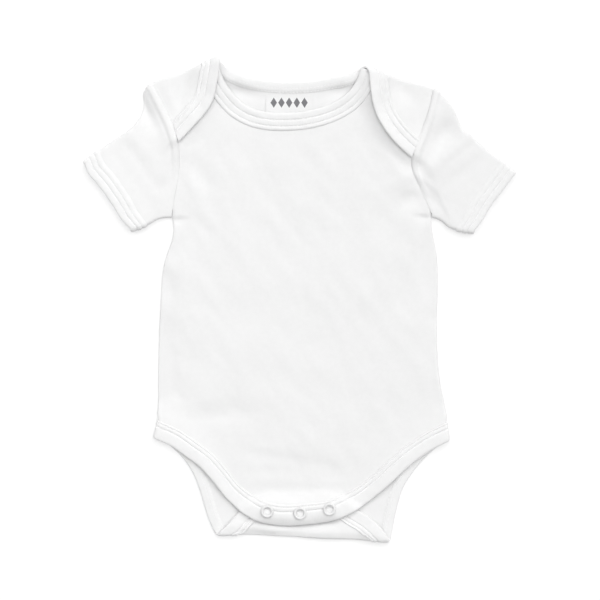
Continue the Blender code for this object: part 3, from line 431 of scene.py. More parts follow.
def ledge(distance, plateau):
    """1 up to the plateau's end, then a short steep fall and a long gentle one to 0."""
    steep, gentle = step(distance, plateau, LEDGE_FALL), step(distance, plateau, UNDER_FALL)
    return LEDGE_SHARE * steep + (1 - LEDGE_SHARE) * gentle


# Lines of the garment as it lies
BACK_EDGES = [smooth(BACK_NECK + LAP_EDGE[LEFT][:1], PLAN)] + [
    smooth(((side * BACK_LEG_END, LEG_TOP[side]),) + BACK_LEG[side], PLAN) for side in SIDES
]
FRONT_EDGES = [
    smooth(FRONT_NECK, PLAN),
    smooth(FRONT_LEG_ENDS[:1] + FRONT_LEG + FRONT_LEG_ENDS[1:], PLAN),
]
FLAP_LINE = smooth(FLAP_EDGE, PLAN)
LAP_LINES = {side: smooth(LAP_EDGE[side], PLAN) for side in SIDES}
SIDE_LINE = {
    side: smooth([(row[0], row[1 if side == RIGHT else 2]) for row in SIDE_ROWS], FINE_PLAN)
    for side in SIDES
}


class Field:
    """A height at each place, kept on a square grid and read smoothly between its points."""

    PITCH, BLUR = 1.5, 1.0
    X = np.arange(-184.5, 184.6, PITCH)
    Y = np.arange(-205.5, 205.6, PITCH)
    PLACES = np.stack(np.meshgrid(X, Y), axis=-1).reshape(-1, 2)

    def __init__(self, values):
        table = values.reshape(len(self.Y), len(self.X))
        reach = int(3 * self.BLUR) + 1
        weights = np.exp(-0.5 * (np.arange(-reach, reach + 1) / self.BLUR) ** 2)
        weights /= weights.sum()
        for axis in (0, 1):
            padded = np.pad(table, [(reach * (k == axis),) * 2 for k in (0, 1)], "edge")
            at = np.arange(table.shape[axis])
            table = sum(w * np.take(padded, at + k, axis=axis) for k, w in enumerate(weights))
        self.table = table

    @staticmethod
    def taps(share):
        """The four weights of a smooth curve through evenly spaced values."""
        s2, s3 = share**2, share**3
        return (
            -0.5 * share + s2 - 0.5 * s3,
            1 - 2.5 * s2 + 1.5 * s3,
            0.5 * share + 2 * s2 - 1.5 * s3,
            -0.5 * s2 + 0.5 * s3,
        )

    def __call__(self, points):
        x = np.clip((points[:, 0] - self.X[0]) / self.PITCH, 1, len(self.X) - 2.001)
        y = np.clip((points[:, 1] - self.Y[0]) / self.PITCH, 1, len(self.Y) - 2.001)
        i, j = x.astype(int), y.astype(int)
        height = np.zeros(len(points))
        for dj, wy in enumerate(self.taps(y - j), -1):
            row = np.minimum(j + dj, len(self.Y) - 1)
            for di, wx in enumerate(self.taps(x - i), -1):
                height += wy * wx * self.table[row, np.minimum(i + di, len(self.X) - 1)]
        return height


def stacked_heights():
    """The height of the middle of each layer of cloth, at every place of the grid."""
    p = Field.PLACES
    back_bound = np.min([away(p, line) for line in BACK_EDGES], axis=0)
    front_bound = np.min([away(p, line) for line in FRONT_EDGES], axis=0)
    flap_away = away(p, FLAP_LINE)
    seam_away = np.min([away(p, smooth(ARMHOLE[side], PLAN)) for side in SIDES], axis=0)
    # The back, which bears its bindings and the label
    back = HALF + BAND_RISE * step(back_bound, BAND_OUT + 2, FALL)
    back += NECK_RISE * step(away(p, BACK_EDGES[0]), 0.0, NECK_FALL)
    half = np.array([LABEL_WIDTH, LABEL_HEIGHT]) / 2
    label = np.linalg.norm(np.maximum(np.abs(p - LABEL_CENTRE) - half, 0), axis=1)
    covered = np.maximum(step(back_bound, OVER_IN, FALL), step(label, LABEL_REACH, FALL))
    back_top = back + HALF + BAND_RISE * covered
    # The crotch flap on it
    flap = back_top + SEAM + HALF + INNER_STEP * step(flap_away, OVER_IN, FALL)
    rise = flap + HALF + BAND_RISE * step(flap_away, BAND_OUT, FALL / 2) - back_top
    outside = np.where(inside(p, FLAP_LINE), 0, flap_away)
    under = back_top + rise * ledge(outside, 0.5)
    # The front on both
    binding = INNER_STEP * step(front_bound, OVER_IN, FALL)
    studs = STUD_ROOM * ledge(away(p, np.array(SNAP_POINTS)), STUD_REACH)
    free = 1 - step(front_bound, OVER_IN, FALL)
    flat = 1 - step(front_bound, BAND_IN + 3, 2 * FALL)
    loft = FOLD_GAIN * folds_height(p, FRONT_FOLDS) + folds_height(p, FRONT_CREASES)
    loft += ripples(p, FRONT_RIPPLES, 3.1)
    loft = EDGE_LOFT + free * (BODY_LOFT - EDGE_LOFT) + flat * loft
    front = under + SEAM + HALF + binding + studs + np.maximum(loft, LEAST_LOFT)
    loose = step(np.linalg.norm(p - LOOSE_SPOT, axis=1), *LOOSE_REACH)
    rises = {RIGHT: RIGHT_LAP_RISE, LEFT: LAP_RISE * (LAP_LEAST + (1 - LAP_LEAST) * loose)}
    for side in (LEFT, RIGHT):
        near = np.clip(1 - away(p, LAP_LINES[side]) / LAP_RISE_FALL, 0, 1)
        front += rises[side] * near**2
    # The laps on the front
    tops = {}
    for side in SIDES:
        own = INNER_STEP * step(away(p, LAP_LINES[side]), OVER_IN, FALL)
        lift = folds_height(p, LAP_CREASES[side])
        if side == LEFT:
            lift += LEFT_LAP_LIFT * loose
        top = front + HALF + BAND_RISE * step(front_bound, BAND_OUT + 1, FALL)
        tops[side] = top + SEAM + HALF + own + lift
    # Creases of the back and flap, which nothing above follows
    folded = folds_height(p, BACK_CREASES) + np.abs(ripples(p, BACK_RIPPLES, 11.9))
    bare = 1 - step(back_bound, BAND_OUT, FALL)
    back += folded * (CREASE_LEAST + (1 - CREASE_LEAST) * bare)
    back += folds_height(p, NECK_CREASES)
    flap += folds_height(p, FLAP_CREASES) + ripples(p, FLAP_RIPPLES, 17.7)
    seam = SEAM_DIP * np.exp(-((seam_away / SEAM_REACH) ** 2))
    return {
        "back": Field(back),
        "flap": Field(np.maximum(flap, back + 2 * HALF)),
        "front": Field(front - seam),
        RIGHT: Field(tops[RIGHT] - seam),
        LEFT: Field(tops[LEFT] - seam),
    }


HEIGHTS = stacked_heights()
back_height, flap_height = HEIGHTS["back"], HEIGHTS["flap"]


def front_height(points):
    return HEIGHTS["front"](points) + tucks(points, FRONT_TUCKS)


class Fold:
    """A straight fold. Pattern points beyond the line turn up over it and lie back on the panel."""

    def __init__(self, start, end, over):
        self.start = np.array(start)
        run = np.array(end) - self.start
        self.along = run / np.linalg.norm(run)
        self.outward = np.array([-self.along[1], self.along[0]])
        self.over = over

    def split(self, points):
        offset = points - self.start
        return offset @ self.along, offset @ self.outward

    def at(self, along, beyond):
        along, beyond = np.broadcast_arrays(np.asarray(along, float), beyond)
        return self.start + along[..., None] * self.along + beyond[..., None] * self.outward

    def unfold(self, plan):
        """The pattern points of cloth that lies folded over these places."""
        along, beyond = self.split(plan)
        return self.at(along, FOLD_TURN - beyond)

    def lay(self, points):
        along, beyond = self.split(points)
        line = self.at(along, 0.0)
        low, high = back_height(line), self.over(line)
        radius = (high - low) / 2
        angle = np.clip(beyond / FOLD_RADIUS, 0, math.pi)
        plan = self.at(along, radius * np.sin(angle) - np.maximum(beyond - FOLD_TURN, 0))
        height = low + radius * (1 - np.cos(angle))
        height = np.where(beyond > FOLD_TURN, self.over(plan), height)
        return np.column_stack([plan, height])


SHOULDER = {side: Fold(LAP_EDGE[side][0], ARMHOLE[side][-1], HEIGHTS[side]) for side in SIDES}
SHOULDER[RIGHT].outward *= -1
CROTCH = Fold(BACK_LEG[RIGHT][-1], BACK_LEG[LEFT][-1], flap_height)
CROTCH.outward *= -1


def roll_start(side, y):
    """The x where the body starts to roll round its side edge, at each height y."""
    edge = SIDE_LINE[side]
    x = np.interp(y, edge[::-1, 0], edge[::-1, 1])
    plan = np.column_stack([x - side * ROLL_EDGE, y])
    radius = (front_height(plan) - back_height(plan)) / 2
    bound = BAND_RISE * step(y - LEG_TOP[side], BAND_OUT, ROLL_EASE)
    start = x - side * (radius + HALF + bound)
    return np.where(y > ARMPIT[side] + NO_ROLL_FROM, side * NO_ROLL, start)


def laid_body(points, height, rolls_up):
    """A body panel as it lies: level, and rolled half way round its two side edges."""
    plan = points.copy()
    turn = np.zeros(len(points))
    for side in SIDES:
        start = roll_start(side, points[:, 1])
        beyond = side * (points[:, 0] - start)
        plan[:, 0] = np.where(beyond > 0, start, plan[:, 0])
        turn = np.where(beyond > 0, side * beyond / ROLL_RADIUS, turn)
    radius = (front_height(plan) - back_height(plan)) / 2
    drop = (radius - SIDE_GAP / 2) * (1 - np.cos(turn))
    z = height(plan) + (drop if rolls_up else -drop)
    return np.column_stack([plan[:, 0] + radius * np.sin(turn), plan[:, 1], z])


def laid_front(points):
    return laid_body(points, front_height, False)


def laid_back(points):
    places = laid_body(points, back_height, True)
    for fold, region in (
        (SHOULDER[RIGHT], points[:, 0] < -FOLD_REGION),
        (SHOULDER[LEFT], points[:, 0] > FOLD_REGION),
        (CROTCH, points[:, 1] < -FOLD_REGION),
    ):
        region = region & (fold.split(points)[1] > 0)
        if region.any():
            places[region] = fold.lay(points[region])
    return places


def place_and_normal(surface, points, nudge=0.5):
    """The places of pattern points on a laid surface, and its normals there."""
    across = surface(points + (nudge, 0)) - surface(points - (nudge, 0))
    upward = surface(points + (0, nudge)) - surface(points - (0, nudge))
    return surface(points), unit(np.cross(across, upward))


class BoundEdge:
    """An edge of a pattern with cloth on its left. leans gives stations where the rows across
    the binding run in a given direction, such as along a seam or a fold. With rolls, the rows
    keep to the two side seams' rolls at the edge's ends."""

    def __init__(self, points, leans, rolls=False, least=0.5):
        self.points = points
        self.rolls = rolls
        normals = left_normals(points)
        run = run_of(points)
        pull = normals.copy()
        for stations, direction in leans:
            direction = np.array(direction) / np.linalg.norm(direction)
            distance = np.min([np.abs(run - run[k]) for k in stations], axis=0)
            near = step(distance, 0.0, LEAN_REACH)[:, None]
            # The direction's weight grows without limit at its stations
            pull += near / (1.0000001 - near) * direction
        pull = unit(pull)
        self.across = pull / np.maximum((pull * normals).sum(axis=1), least)[:, None]

    def row(self, inset):
        row = self.points + inset * self.across
        for k in range(ROLL_STEPS + 1 if self.rolls else 0):
            turned = ROLL_TURN * ROLL_SHARE * (1 - k / ROLL_STEPS)
            for side, i in ((RIGHT, k), (LEFT, -1 - k)):
                row[i, 0] = roll_start(side, row[i : i + 1 or None, 1])[0] + side * turned
        return row


class RingEdge:
    """The cuff's edge: pattern points (turn round the sleeve, distance from the cuff)."""

    def __init__(self, turns):
        self.turns = turns
        self.points = self.row(0.0)

    def row(self, inset):
        return np.column_stack([self.turns, np.full(len(self.turns), float(inset))])


def side_seam(side, low, high):
    """Points up a side seam, and the rows of the roll inside it."""
    y = np.linspace(low, high, max(2, round((high - low) / STATION) + 1))
    start = roll_start(side, y)
    return [
        np.column_stack([start + side * ROLL_TURN * k / ROLL_STEPS, y])
        for k in range(ROLL_STEPS, -1, -1)
    ]


def from_seam(side, rows):
    """A leg edge's stations from the side seam: across the roll, then through the rows."""
    turn = np.linspace(ROLL_SHARE, 0, ROLL_STEPS + 1)
    y = LEG_TOP[side] - (1 - turn) * ROLL_TURN * ROLL_SLOPE
    roll = np.column_stack([roll_start(side, y) + side * ROLL_TURN * turn, y])
    return np.concatenate([roll[:-1], smooth((tuple(roll[-1]),) + tuple(rows), STATION)])


def seam_leans():
    """The way in which a leg edge's two ends lean, along the side seams."""
    leans = []
    for side, stations in ((RIGHT, range(ROLL_STEPS + 1)), (LEFT, range(-1 - ROLL_STEPS, 0))):
        y = np.array([LEG_TOP[side], LEG_TOP[side] + BAND_OUT])
        leans.append((stations, np.array([*np.diff(roll_start(side, y)), BAND_OUT])))
    return leans


def front_leg_edge():
    right = from_seam(RIGHT, FRONT_LEG + (FRONT_LEG_TIP,))
    left = from_seam(LEFT, FRONT_LEG[::-1])[::-1]
    middle = FRONT_LEG[len(FRONT_LEG) // 2][0]
    right = right[right[:, 0] < middle - JOIN_CLEAR]
    left = left[left[:, 0] > middle + JOIN_CLEAR]
    return BoundEdge(np.concatenate([right, left]), seam_leans(), rolls=True)


def front_neck_edge():
    points = smooth(FRONT_NECK[::-1], NECK_STATION)
    return BoundEdge(points, [([0], SHOULDER[LEFT].along), ([-1], SHOULDER[RIGHT].along)])


def fold_stations(fold, start, end):
    """Points across a fold's turn, from one place along it to another, without the first."""
    share = np.arange(1, FOLD_STEPS + 1) / FOLD_STEPS
    return fold.at(start + (end - start) * share, FOLD_TURN * share)


def back_neck_edge():
    """From the left lap's end over the shoulder, round the back neck, to the right lap's end."""
    points, leans = np.empty((0, 2)), []
    neck = smooth(BACK_NECK[::-1], STATION)
    for side in (LEFT, RIGHT):
        fold = SHOULDER[side]
        lap = fold.unfold(smooth(LAP_EDGE[side], STATION))
        tip = neck[0 if side == LEFT else -1]
        turn = fold_stations(fold, fold.split(tip)[0], 0.0)[:-1]
        seam = np.diff(fold.unfold(np.array(ARMHOLE[side][-4:-2])), axis=0)[0]
        if side == LEFT:
            points = np.concatenate([lap[::-1], turn[::-1], neck])
            over = range(len(lap) - 1, len(lap) + len(turn) + 1)
            leans += [([0], seam), (over, fold.along)]
        else:
            over = range(len(points) - 1, len(points) + len(turn) + 1)
            points = np.concatenate([points, turn, lap])
            leans += [([-1], seam), (over, fold.along)]
    return BoundEdge(points, leans, least=0.9)


def back_leg_edge():
    """From the right side seam down the leg, round the flap, and up to the left side seam."""
    down = from_seam(RIGHT, BACK_LEG[RIGHT])
    up = from_seam(LEFT, BACK_LEG[LEFT])[::-1]
    flap = CROTCH.unfold(smooth(FLAP_EDGE, STATION))
    spots = [CROTCH.split(place)[0] for place in (down[-1], flap[0], flap[-1], up[0])]
    over = fold_stations(CROTCH, spots[0], spots[1])[:-1]
    under = fold_stations(CROTCH, spots[3], spots[2])[:-1][::-1]
    points = np.concatenate([down, over, flap, under, up])
    turn = len(over) + 2
    first = range(len(down) - 1, len(down) - 1 + turn)
    second = range(len(points) - len(up) - turn + 1, len(points) - len(up) + 1)
    leans = seam_leans() + [(first, CROTCH.along), (second, -CROTCH.along)]
    return BoundEdge(points, leans, rolls=True)


def across_share(turn):
    """How far across a sleeve a place is, from its top (0) to its underarm (1)."""
    lower = np.where(turn < 3, 3 - turn, 0)
    return np.where(turn < 1, turn, np.where(turn < 2, 1, lower))


class Sleeve:
    """A short sleeve, pressed flat. Its pattern points are (turn, inset), where turn counts in
    hundredths: 0 to 1 crosses the upper layer from the top to the underarm, 1 to 2 is the
    underarm's turn, 2 to 3 the lower layer and 3 to 4 the top's turn. inset is the distance from
    the cuff's edge."""

    def __init__(self, side):
        self.side = side
        count = SLEEVE_STATIONS
        self.shares = np.linspace(0, 1, count)
        armhole = evenly(smooth((SLEEVE_PIT[side],) + ARMHOLE[side], FINE_PLAN)[::-1], count)
        self.arm = armhole + side * ARMHOLE_GAP * left_normals(armhole)
        outlines = (CUFF, SLEEVE_TOP, SLEEVE_UNDER)
        cuff, top, under = (evenly(smooth(rows[side], FINE_PLAN), count) for rows in outlines)
        reach = np.linspace(SHOULDER_RADIUS, CUFF_RADIUS + BAND_TOP, count)[:, None]
        self.top_out = left_normals(top) * side
        self.under_out = left_normals(under) * -side
        fade = ((1 - self.shares) ** 4)[:, None]
        top = top - reach * self.top_out
        under = under - reach * self.under_out
        self.top = top + fade * (self.arm[0] - top[0])
        self.under = under + fade * (self.arm[-1] - under[0])
        share = self.shares[:, None]
        self.cuff = cuff + (1 - share) * (self.top[-1] - cuff[0])
        self.cuff += share * (self.under[-1] - cuff[-1])
        self.lengths = np.linalg.norm(self.arm - self.cuff, axis=1)
        lap_end = LAP_EDGE[side][-1][1]
        on_lap = step(lap_end + LAP_REACH - self.arm[:, 1], 0.0, LAP_FALL)
        front = front_height(self.arm)
        self.body = front + on_lap * (HEIGHTS[side](self.arm) - front)
        self.ridge = step(lap_end - 2 - self.arm[:, 1], 0.0, RIDGE_LENGTH)

    def read(self, table, share):
        if table.ndim == 1:
            return np.interp(share, self.shares, table)
        return read_at(share, self.shares, table)

    def plan(self, a, b):
        """The patch between armhole, cuff, top and underarm, at shares a across and b along."""
        a1, b1 = a[:, None], b[:, None]
        patch = (1 - a1) * self.read(self.top, b) + a1 * self.read(self.under, b)
        patch += (1 - b1) * self.read(self.arm, a) + b1 * self.read(self.cuff, a)
        corners = (1 - b1) * ((1 - a1) * self.arm[0] + a1 * self.arm[-1])
        corners += b1 * ((1 - a1) * self.cuff[0] + a1 * self.cuff[-1])
        return patch - corners

    def lay(self, points):
        turn, inset = points[:, 0] / TURN % 4, points[:, 1]
        a = across_share(turn)
        under_angle = math.pi * np.clip(turn - 1, 0, 1)
        angle = np.where(turn < 3, under_angle, math.pi * (4 - turn))
        length = self.read(self.lengths, a)
        b = 1 - inset / length
        plan = self.plan(a, b)
        low = HALF + BAND_RISE * step(inset, BAND_OUT + 1, FALL)
        cuff = step(inset, BAND_OUT + 1, 2 * FALL)
        low += folds_height(plan, UNDER_CREASES[self.side]) * (1 - cuff)
        puff = folds_height(plan, SLEEVE_CREASES[self.side])
        puff += ripples(plan, SLEEVE_RIPPLES, 31.0 + self.side)
        high = SLEEVE_HEIGHT + puff * (1 - cuff)
        high += cuff * (low + 2 * CUFF_RADIUS - high)
        from_body = length - inset
        out_of_seam = 1 - np.exp(-((from_body / SEAM_REACH) ** 2))
        seam = self.read(self.body, a) + SEAM_DIP * out_of_seam
        high += step(from_body, 1.0, PUFF_FALL) * (seam - high)
        ridge = step(from_body, RIDGE_REACH, RIDGE_FALL)
        ridge *= 1 - np.exp(-((from_body / RIDGE_START) ** 2))
        high += RIDGE_HEIGHT * ridge * self.read(self.ridge, a)
        radius = (high - low) / 2
        under, top = self.read(self.under_out, b), self.read(self.top_out, b)
        outward = np.where((turn < 2.5)[:, None], under, top)
        plan = plan + (radius * np.sin(angle))[:, None] * outward
        return np.column_stack([plan, (high + low) / 2 + radius * np.cos(angle)])


def armhole_points(side):
    """Up the armhole, from the side seam's top to the shoulder."""
    x = roll_start(side, np.array([ARMPIT[side]]))[0] + side * ROLL_TURN
    return smooth(((x, ARMPIT[side]),) + ARMHOLE[side], STATION)


def cut_at(fold, line, limit):
    """A line that climbs towards a fold, ended where it is limit beyond it."""
    along, beyond = fold.split(line)
    end = fold.at(np.interp(limit, beyond, along), limit)
    return np.concatenate([line[beyond < limit - 1.0], end[None]])


def side_chains(side, leg):
    """The points up a side seam from the leg's binding to the armpit, and up its roll's rows."""
    end = -1 if side == LEFT else 0
    under_band = np.array([leg.row(inset)[end] for inset in (BAND_IN, BAND_OUT)])
    seam, *roll = side_seam(side, under_band[-1][1], ARMPIT[side])
    return np.concatenate([under_band, seam[1:-1]]), [row[1:-1] for row in roll]


def grid_inside(loop, spacing):
    """A triangular grid of points inside a loop."""
    low, high = loop.min(axis=0), loop.max(axis=0)
    rise = spacing * math.sqrt(3) / 2
    rows = []
    for j in range(int((high[1] - low[1]) / rise) + 1):
        x = np.arange(low[0], high[0], spacing) + spacing / 2 * (j % 2)
        rows.append(np.column_stack([x, np.full(len(x), low[1] + rise * j)]))
    points = np.concatenate(rows)
    found = []
    rim = np.concatenate([loop, loop[:1]])
    for some in np.array_split(points, max(1, len(points) // 2000)):
        some = some[inside(some, loop)]
        found.append(some[away(some, rim) > 0.55 * spacing] if len(some) else some)
    return np.concatenate(found)


def make_mesh(name, places, faces, uv=None, smooth_angle=60):
    """One mesh object, from places in millimetres, with its faces turned outwards."""
    places = places.copy()
    places[:, 2] = np.maximum(places[:, 2], FLOOR_CLEAR)
    faces = [tuple(int(i) for i in face) for face in faces]
    a, b, c = (places[[face[k] for face in faces]] for k in range(3))
    if (a * np.cross(b, c)).sum() < 0:
        faces = [face[::-1] for face in faces]
    mesh = bpy.data.meshes.new(name)
    mesh.from_pydata([tuple(place * MM) for place in places], [], faces)
    if uv is not None:
        layer = mesh.uv_layers.new(name="cloth")
        index = np.empty(len(mesh.loops), np.int64)
        mesh.loops.foreach_get("vertex_index", index)
        layer.data.foreach_set("uv", (uv[index] / 100).astype(np.float32).ravel())
    mesh.shade_smooth()
    mesh.set_sharp_from_angle(angle=math.radians(smooth_angle))
    piece = bpy.data.objects.new(name, mesh)
    bpy.context.scene.collection.objects.link(piece)
    return piece


def finish_piece(piece, material, slot, *nodes):
    piece.data.materials.append(material)
    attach(piece, "root")
    if nodes:
        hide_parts(*nodes)
    return piece


def grid_faces(rows, columns, rows_close=False, columns_close=False, start=0):
    """Faces between rows of points, which may close into rings either way."""
    for k in range(rows if rows_close else rows - 1):
        here, there = start + k * columns, start + (k + 1) % rows * columns
        for i in range(columns if columns_close else columns - 1):
            j = (i + 1) % columns
            yield here + i, here + j, there + j, there + i


def shell_faces(faces, count):
    """A sheet's faces, the same ones turned over count points on, and the rim between them. A
    turned face keeps its diagonal."""
    edges = dict.fromkeys(pair for face in faces for pair in zip(face, face[1:] + face[:1]))
    lower = [tuple(count + i for i in face[2::-1] + face[3:]) for face in faces]
    rim = [(b, a, count + a, count + b) for a, b in edges if (b, a) not in edges]
    return faces + lower + rim


def mesh_normals(places, triangles):
    """The normal at each point of a triangle mesh."""
    a, b, c = (places[triangles[:, k]] for k in range(3))
    flat = np.cross(b - a, c - a)
    normals = np.zeros_like(places)
    for k in range(3):
        np.add.at(normals, triangles[:, k], flat)
    return normals / np.maximum(np.linalg.norm(normals, axis=1, keepdims=True), 1e-12)


def cloth(name, surface, loop, rows):
    """A closed thin shell of cloth over the pattern inside a loop, with points along the rows."""
    inner = grid_inside(loop, GRID)
    fixed = np.concatenate(rows)
    fixed = fixed[inside(fixed, loop)]
    fixed = fixed[away(fixed, np.concatenate([loop, loop[:1]])) > RIM_CLEAR]
    for some in np.array_split(fixed, max(1, len(fixed) // 200)):
        gaps = np.abs(inner[:, None] - some).max(axis=2).min(axis=1)
        inner = inner[gaps > ROW_CLEAR * GRID]
    flat = [Vector(point) for point in np.concatenate([loop, inner, fixed])]
    found = delaunay_2d_cdt(flat, [], [list(range(len(loop)))], 1, 1e-4)
    points = np.array([tuple(point) for point in found[0]])
    triangles = [tuple(face) for face in found[2]]
    places = surface(points)
    normals = mesh_normals(places, np.array(triangles))
    both = np.concatenate([places + SKIN * normals, places - SKIN * normals])
    return make_mesh(name, both, shell_faces(triangles, len(points)), np.tile(points, (2, 1)))


def ease(insets, table, at):
    """Linear reading of a table of (stations, insets, 3) at an inset."""
    k = int(np.clip(np.searchsorted(insets, at, side="right") - 1, 0, len(insets) - 2))
    share = (at - insets[k]) / (insets[k + 1] - insets[k])
    return table[:, k] * (1 - share) + table[:, k + 1] * share


# A binding's rib: its face's height, puff and rounded fold, and its thinner inner leg
BAND_FACE, PUFF, BAND_ROUND = 0.65, 0.25, 1.5
INNER_THICK, INNER_GROOVE = 0.7, 0.12
SLACK, STITCH_DEPTH = SKIN + 0.12, 0.06
GROOVE_HALF, INNER_GROOVE_HALF = 0.55, 0.5
INNER_STITCHES = (4.9, 7.8)
BAND_INSETS = np.array([0, 0.6, 1.5, 3, 4.5, 6, 7.5, 9, 10.5, 12, 13.5, 15, 17.0])
FOLD_INSETS = (0.12, 0.4, 0.8, 1.3, 1.9)
HARD_LEG, SOFT_LEG, SOFT_CUFF = (1.3, 1.8), (1.3, 3.4), (2.6, 1.8)


class Band:
    """A folded strip of rib round an edge. outside is the side of its wide leg, grooves are rows
    of (inset, depth), and falls are how far the two legs take to thin out at their ends."""

    def __init__(self, surface, edge, outside, form, seed, falls=HARD_LEG, widen=1.0, ring=False):
        self.outside, (self.grooves, self.end) = outside, form
        self.ring, self.falls, self.seed = ring, falls, seed
        widen = np.reshape(widen, (-1, 1))
        laid = [
            place_and_normal(surface, edge.points + (edge.row(inset) - edge.points) * widen)
            for inset in BAND_INSETS
        ]
        self.places, self.normals = (np.stack(found, axis=1) for found in zip(*laid))
        self.run = run_of(self.places[:, 3])

    @staticmethod
    def groove(beside, half):
        """A groove's share of its depth, at a place beside its middle."""
        return math.exp(-((beside / half) ** 2))

    def top(self, inset, inner=False):
        """How far the rib's face stands out of the panel's middle, on either leg."""
        end = BAND_IN if inner else self.end
        high = SKIN + BAND_FACE
        if inner:
            thin = SLACK + INNER_THICK
            high += (thin - high) * (1 - step(inset, BAND_ROUND, 4.0))
            grooves = [self.groove(inset - g, INNER_GROOVE_HALF) for g in INNER_STITCHES]
            high -= INNER_GROOVE * sum(grooves)
        else:
            stops = [0.6] + [groove for groove, _ in self.grooves] + [end]
            for a, b in zip(stops, stops[1:]):
                if a <= inset <= b:
                    high += PUFF * math.sin(math.pi * (inset - a) / (b - a)) ** 0.7
            for groove, depth in self.grooves:
                high -= depth * self.groove(inset - groove, GROOVE_HALF)
        if inset < BAND_ROUND:
            high *= math.sqrt(max(0.0, 1 - ((BAND_ROUND - inset) / BAND_ROUND) ** 2))
        fall = self.falls[inner]
        if inset > end - fall:
            low = SKIN + 0.08
            share = min(1.0, (inset - end + fall) / fall)
            high = low + (high - low) * (1 - share**2) ** (0.6 if fall < 2 else 1.4)
        return high

    def at(self, inset, out):
        """Places at an inset from the fold, moved out of the panel's middle."""
        normals = ease(BAND_INSETS, self.normals, inset)
        return ease(BAND_INSETS, self.places, inset) + np.asarray(out)[..., None] * normals

    def pucker(self, inset, end):
        """Small uneven lifts of the rib along its stitches."""
        lift = np.array([
            0.16 * noise.noise((u / 5.5, inset / 5.0, self.seed))
            + 0.2 * noise.noise((u / 17.0, inset / 9.0, self.seed + 4.4))
            for u in self.run
        ])
        return lift * min(1.0, inset / 2.0, max(0.0, (end - inset) / 1.5))

    def section(self):
        """Rows of (inset, out, pucker share) round the strip, from the wide leg's end."""
        fall, inner_fall = self.falls
        last = self.end - fall
        outer = {0.0, *FOLD_INSETS, *map(float, np.linspace(2.6, last - 0.3, 9))}
        outer |= {self.end - fall * k for k in (0.0, 0.06, 0.2, 0.4, 0.65, 1.0)}
        beside = (-1.2, -0.7, -0.35, 0, 0.35, 0.7, 1.2)
        outer |= {g + d for g, _ in self.grooves for d in beside if g + d < last - 0.1}
        rows = [(i, self.top(i), 1.0) for i in sorted(outer, reverse=True)]
        inner = {*FOLD_INSETS, 2.6, 3.4, 6.0}
        inner |= {BAND_IN - inner_fall * k for k in (0.0, 0.1, 0.3, 0.6, 1.0)}
        inner |= {g + d for g in INNER_STITCHES for d in (-0.6, 0, 0.6)}
        rows += [(i, -self.top(i, True), -0.3) for i in sorted(inner)]
        rows += [(i, -SLACK, 0.0) for i in (6.0, 3.0, 1.15)]
        rows += [(i, SLACK, 0.0) for i in (1.15, 3.0, 6.0, 9.0, 11.5)]
        return rows

    def build(self, name):
        rows = self.section()
        places, uv = [], []
        for inset, out, share in rows:
            lift = self.pucker(inset, self.end if out > 0 else BAND_IN) * share
            places.append(self.at(inset, self.outside * (out + lift)))
            across = inset if out > 0 else -inset
            uv.append(np.column_stack([self.run, np.full(len(self.run), across)]))
        stations = len(self.run)
        faces = list(grid_faces(len(rows), stations, True, self.ring))
        for corners in () if self.ring else section_fill(rows):
            faces.append([corner * stations for corner in corners])
            faces.append([corner * stations + stations - 1 for corner in corners[::-1]])
        return make_mesh(name, np.concatenate(places), faces, np.concatenate(uv), 70)

    def stitches(self, groove, inner=False):
        """The line of a row of stitches, with the normals along it."""
        side = -self.outside if inner else self.outside
        places = self.at(groove, side * (self.top(groove, inner) + STITCH_DEPTH))
        normals = side * ease(BAND_INSETS, self.normals, groove)
        if self.ring:
            places, normals = (np.concatenate([a, a[:1]]) for a in (places, normals))
        return places, normals


def section_fill(rows):
    """Triangles that fill a band's section, each running the section's own way round."""
    profile = [Vector((inset, out, 0)) for inset, out, _ in rows]

    def area(loop):
        return sum(a.x * b.y - b.x * a.y for a, b in zip(loop, loop[1:] + loop[:1]))

    way = area(profile)
    for corners in tessellate_polygon([profile]):
        yield corners if area([profile[k] for k in corners]) * way > 0 else corners[::-1]


# Stitches: along each one, the share of its length, how far it bows out, and its radius
STITCH_LENGTH, STITCH_GAP = 2.2, 0.55
STITCH_SHARES = np.array([0.0, 0.15, 0.5, 0.85, 1.0])
STITCH_BOW = np.array([-0.28, -0.02, 0.07, -0.02, -0.28])
STITCH_RADII = 0.2 * np.array([0.35, 0.9, 1.0, 0.9, 0.35])
THREAD_SIDES = 6


def make_stitches(name, lines):
    """Rows of small stitches, each a short bowed piece of thread."""
    places, faces, uv = [], [], []
    turns = 2 * math.pi * np.arange(THREAD_SIDES)[:, None] / THREAD_SIDES
    rings = len(STITCH_SHARES)
    for line, normals in lines:
        run = run_of(line)
        count = max(1, int(run[-1] // (STITCH_LENGTH + STITCH_GAP)))
        pitch = run[-1] / count
        for k in range(count):
            at = k * pitch + STITCH_GAP / 2 + (pitch - STITCH_GAP) * STITCH_SHARES
            spot, up = read_at(at, run, line), unit(read_at(at, run, normals))
            beside = np.cross(unit(np.gradient(spot, axis=0)), up)
            spot = spot + up * STITCH_BOW[:, None]
            start = len(places)
            for ring in range(rings):
                spokes = np.cos(turns) * beside[ring] + np.sin(turns) * up[ring]
                places.extend(spot[ring] + STITCH_RADII[ring] * spokes)
                uv.extend((at[ring], s) for s in range(THREAD_SIDES))
            faces += grid_faces(rings, THREAD_SIDES, False, True, start)
            faces.append(tuple(start + s for s in range(THREAD_SIDES))[::-1])
            faces.append(tuple(len(places) - THREAD_SIDES + s for s in range(THREAD_SIDES)))
    return make_mesh(name, np.array(places), faces, np.array(uv, float))


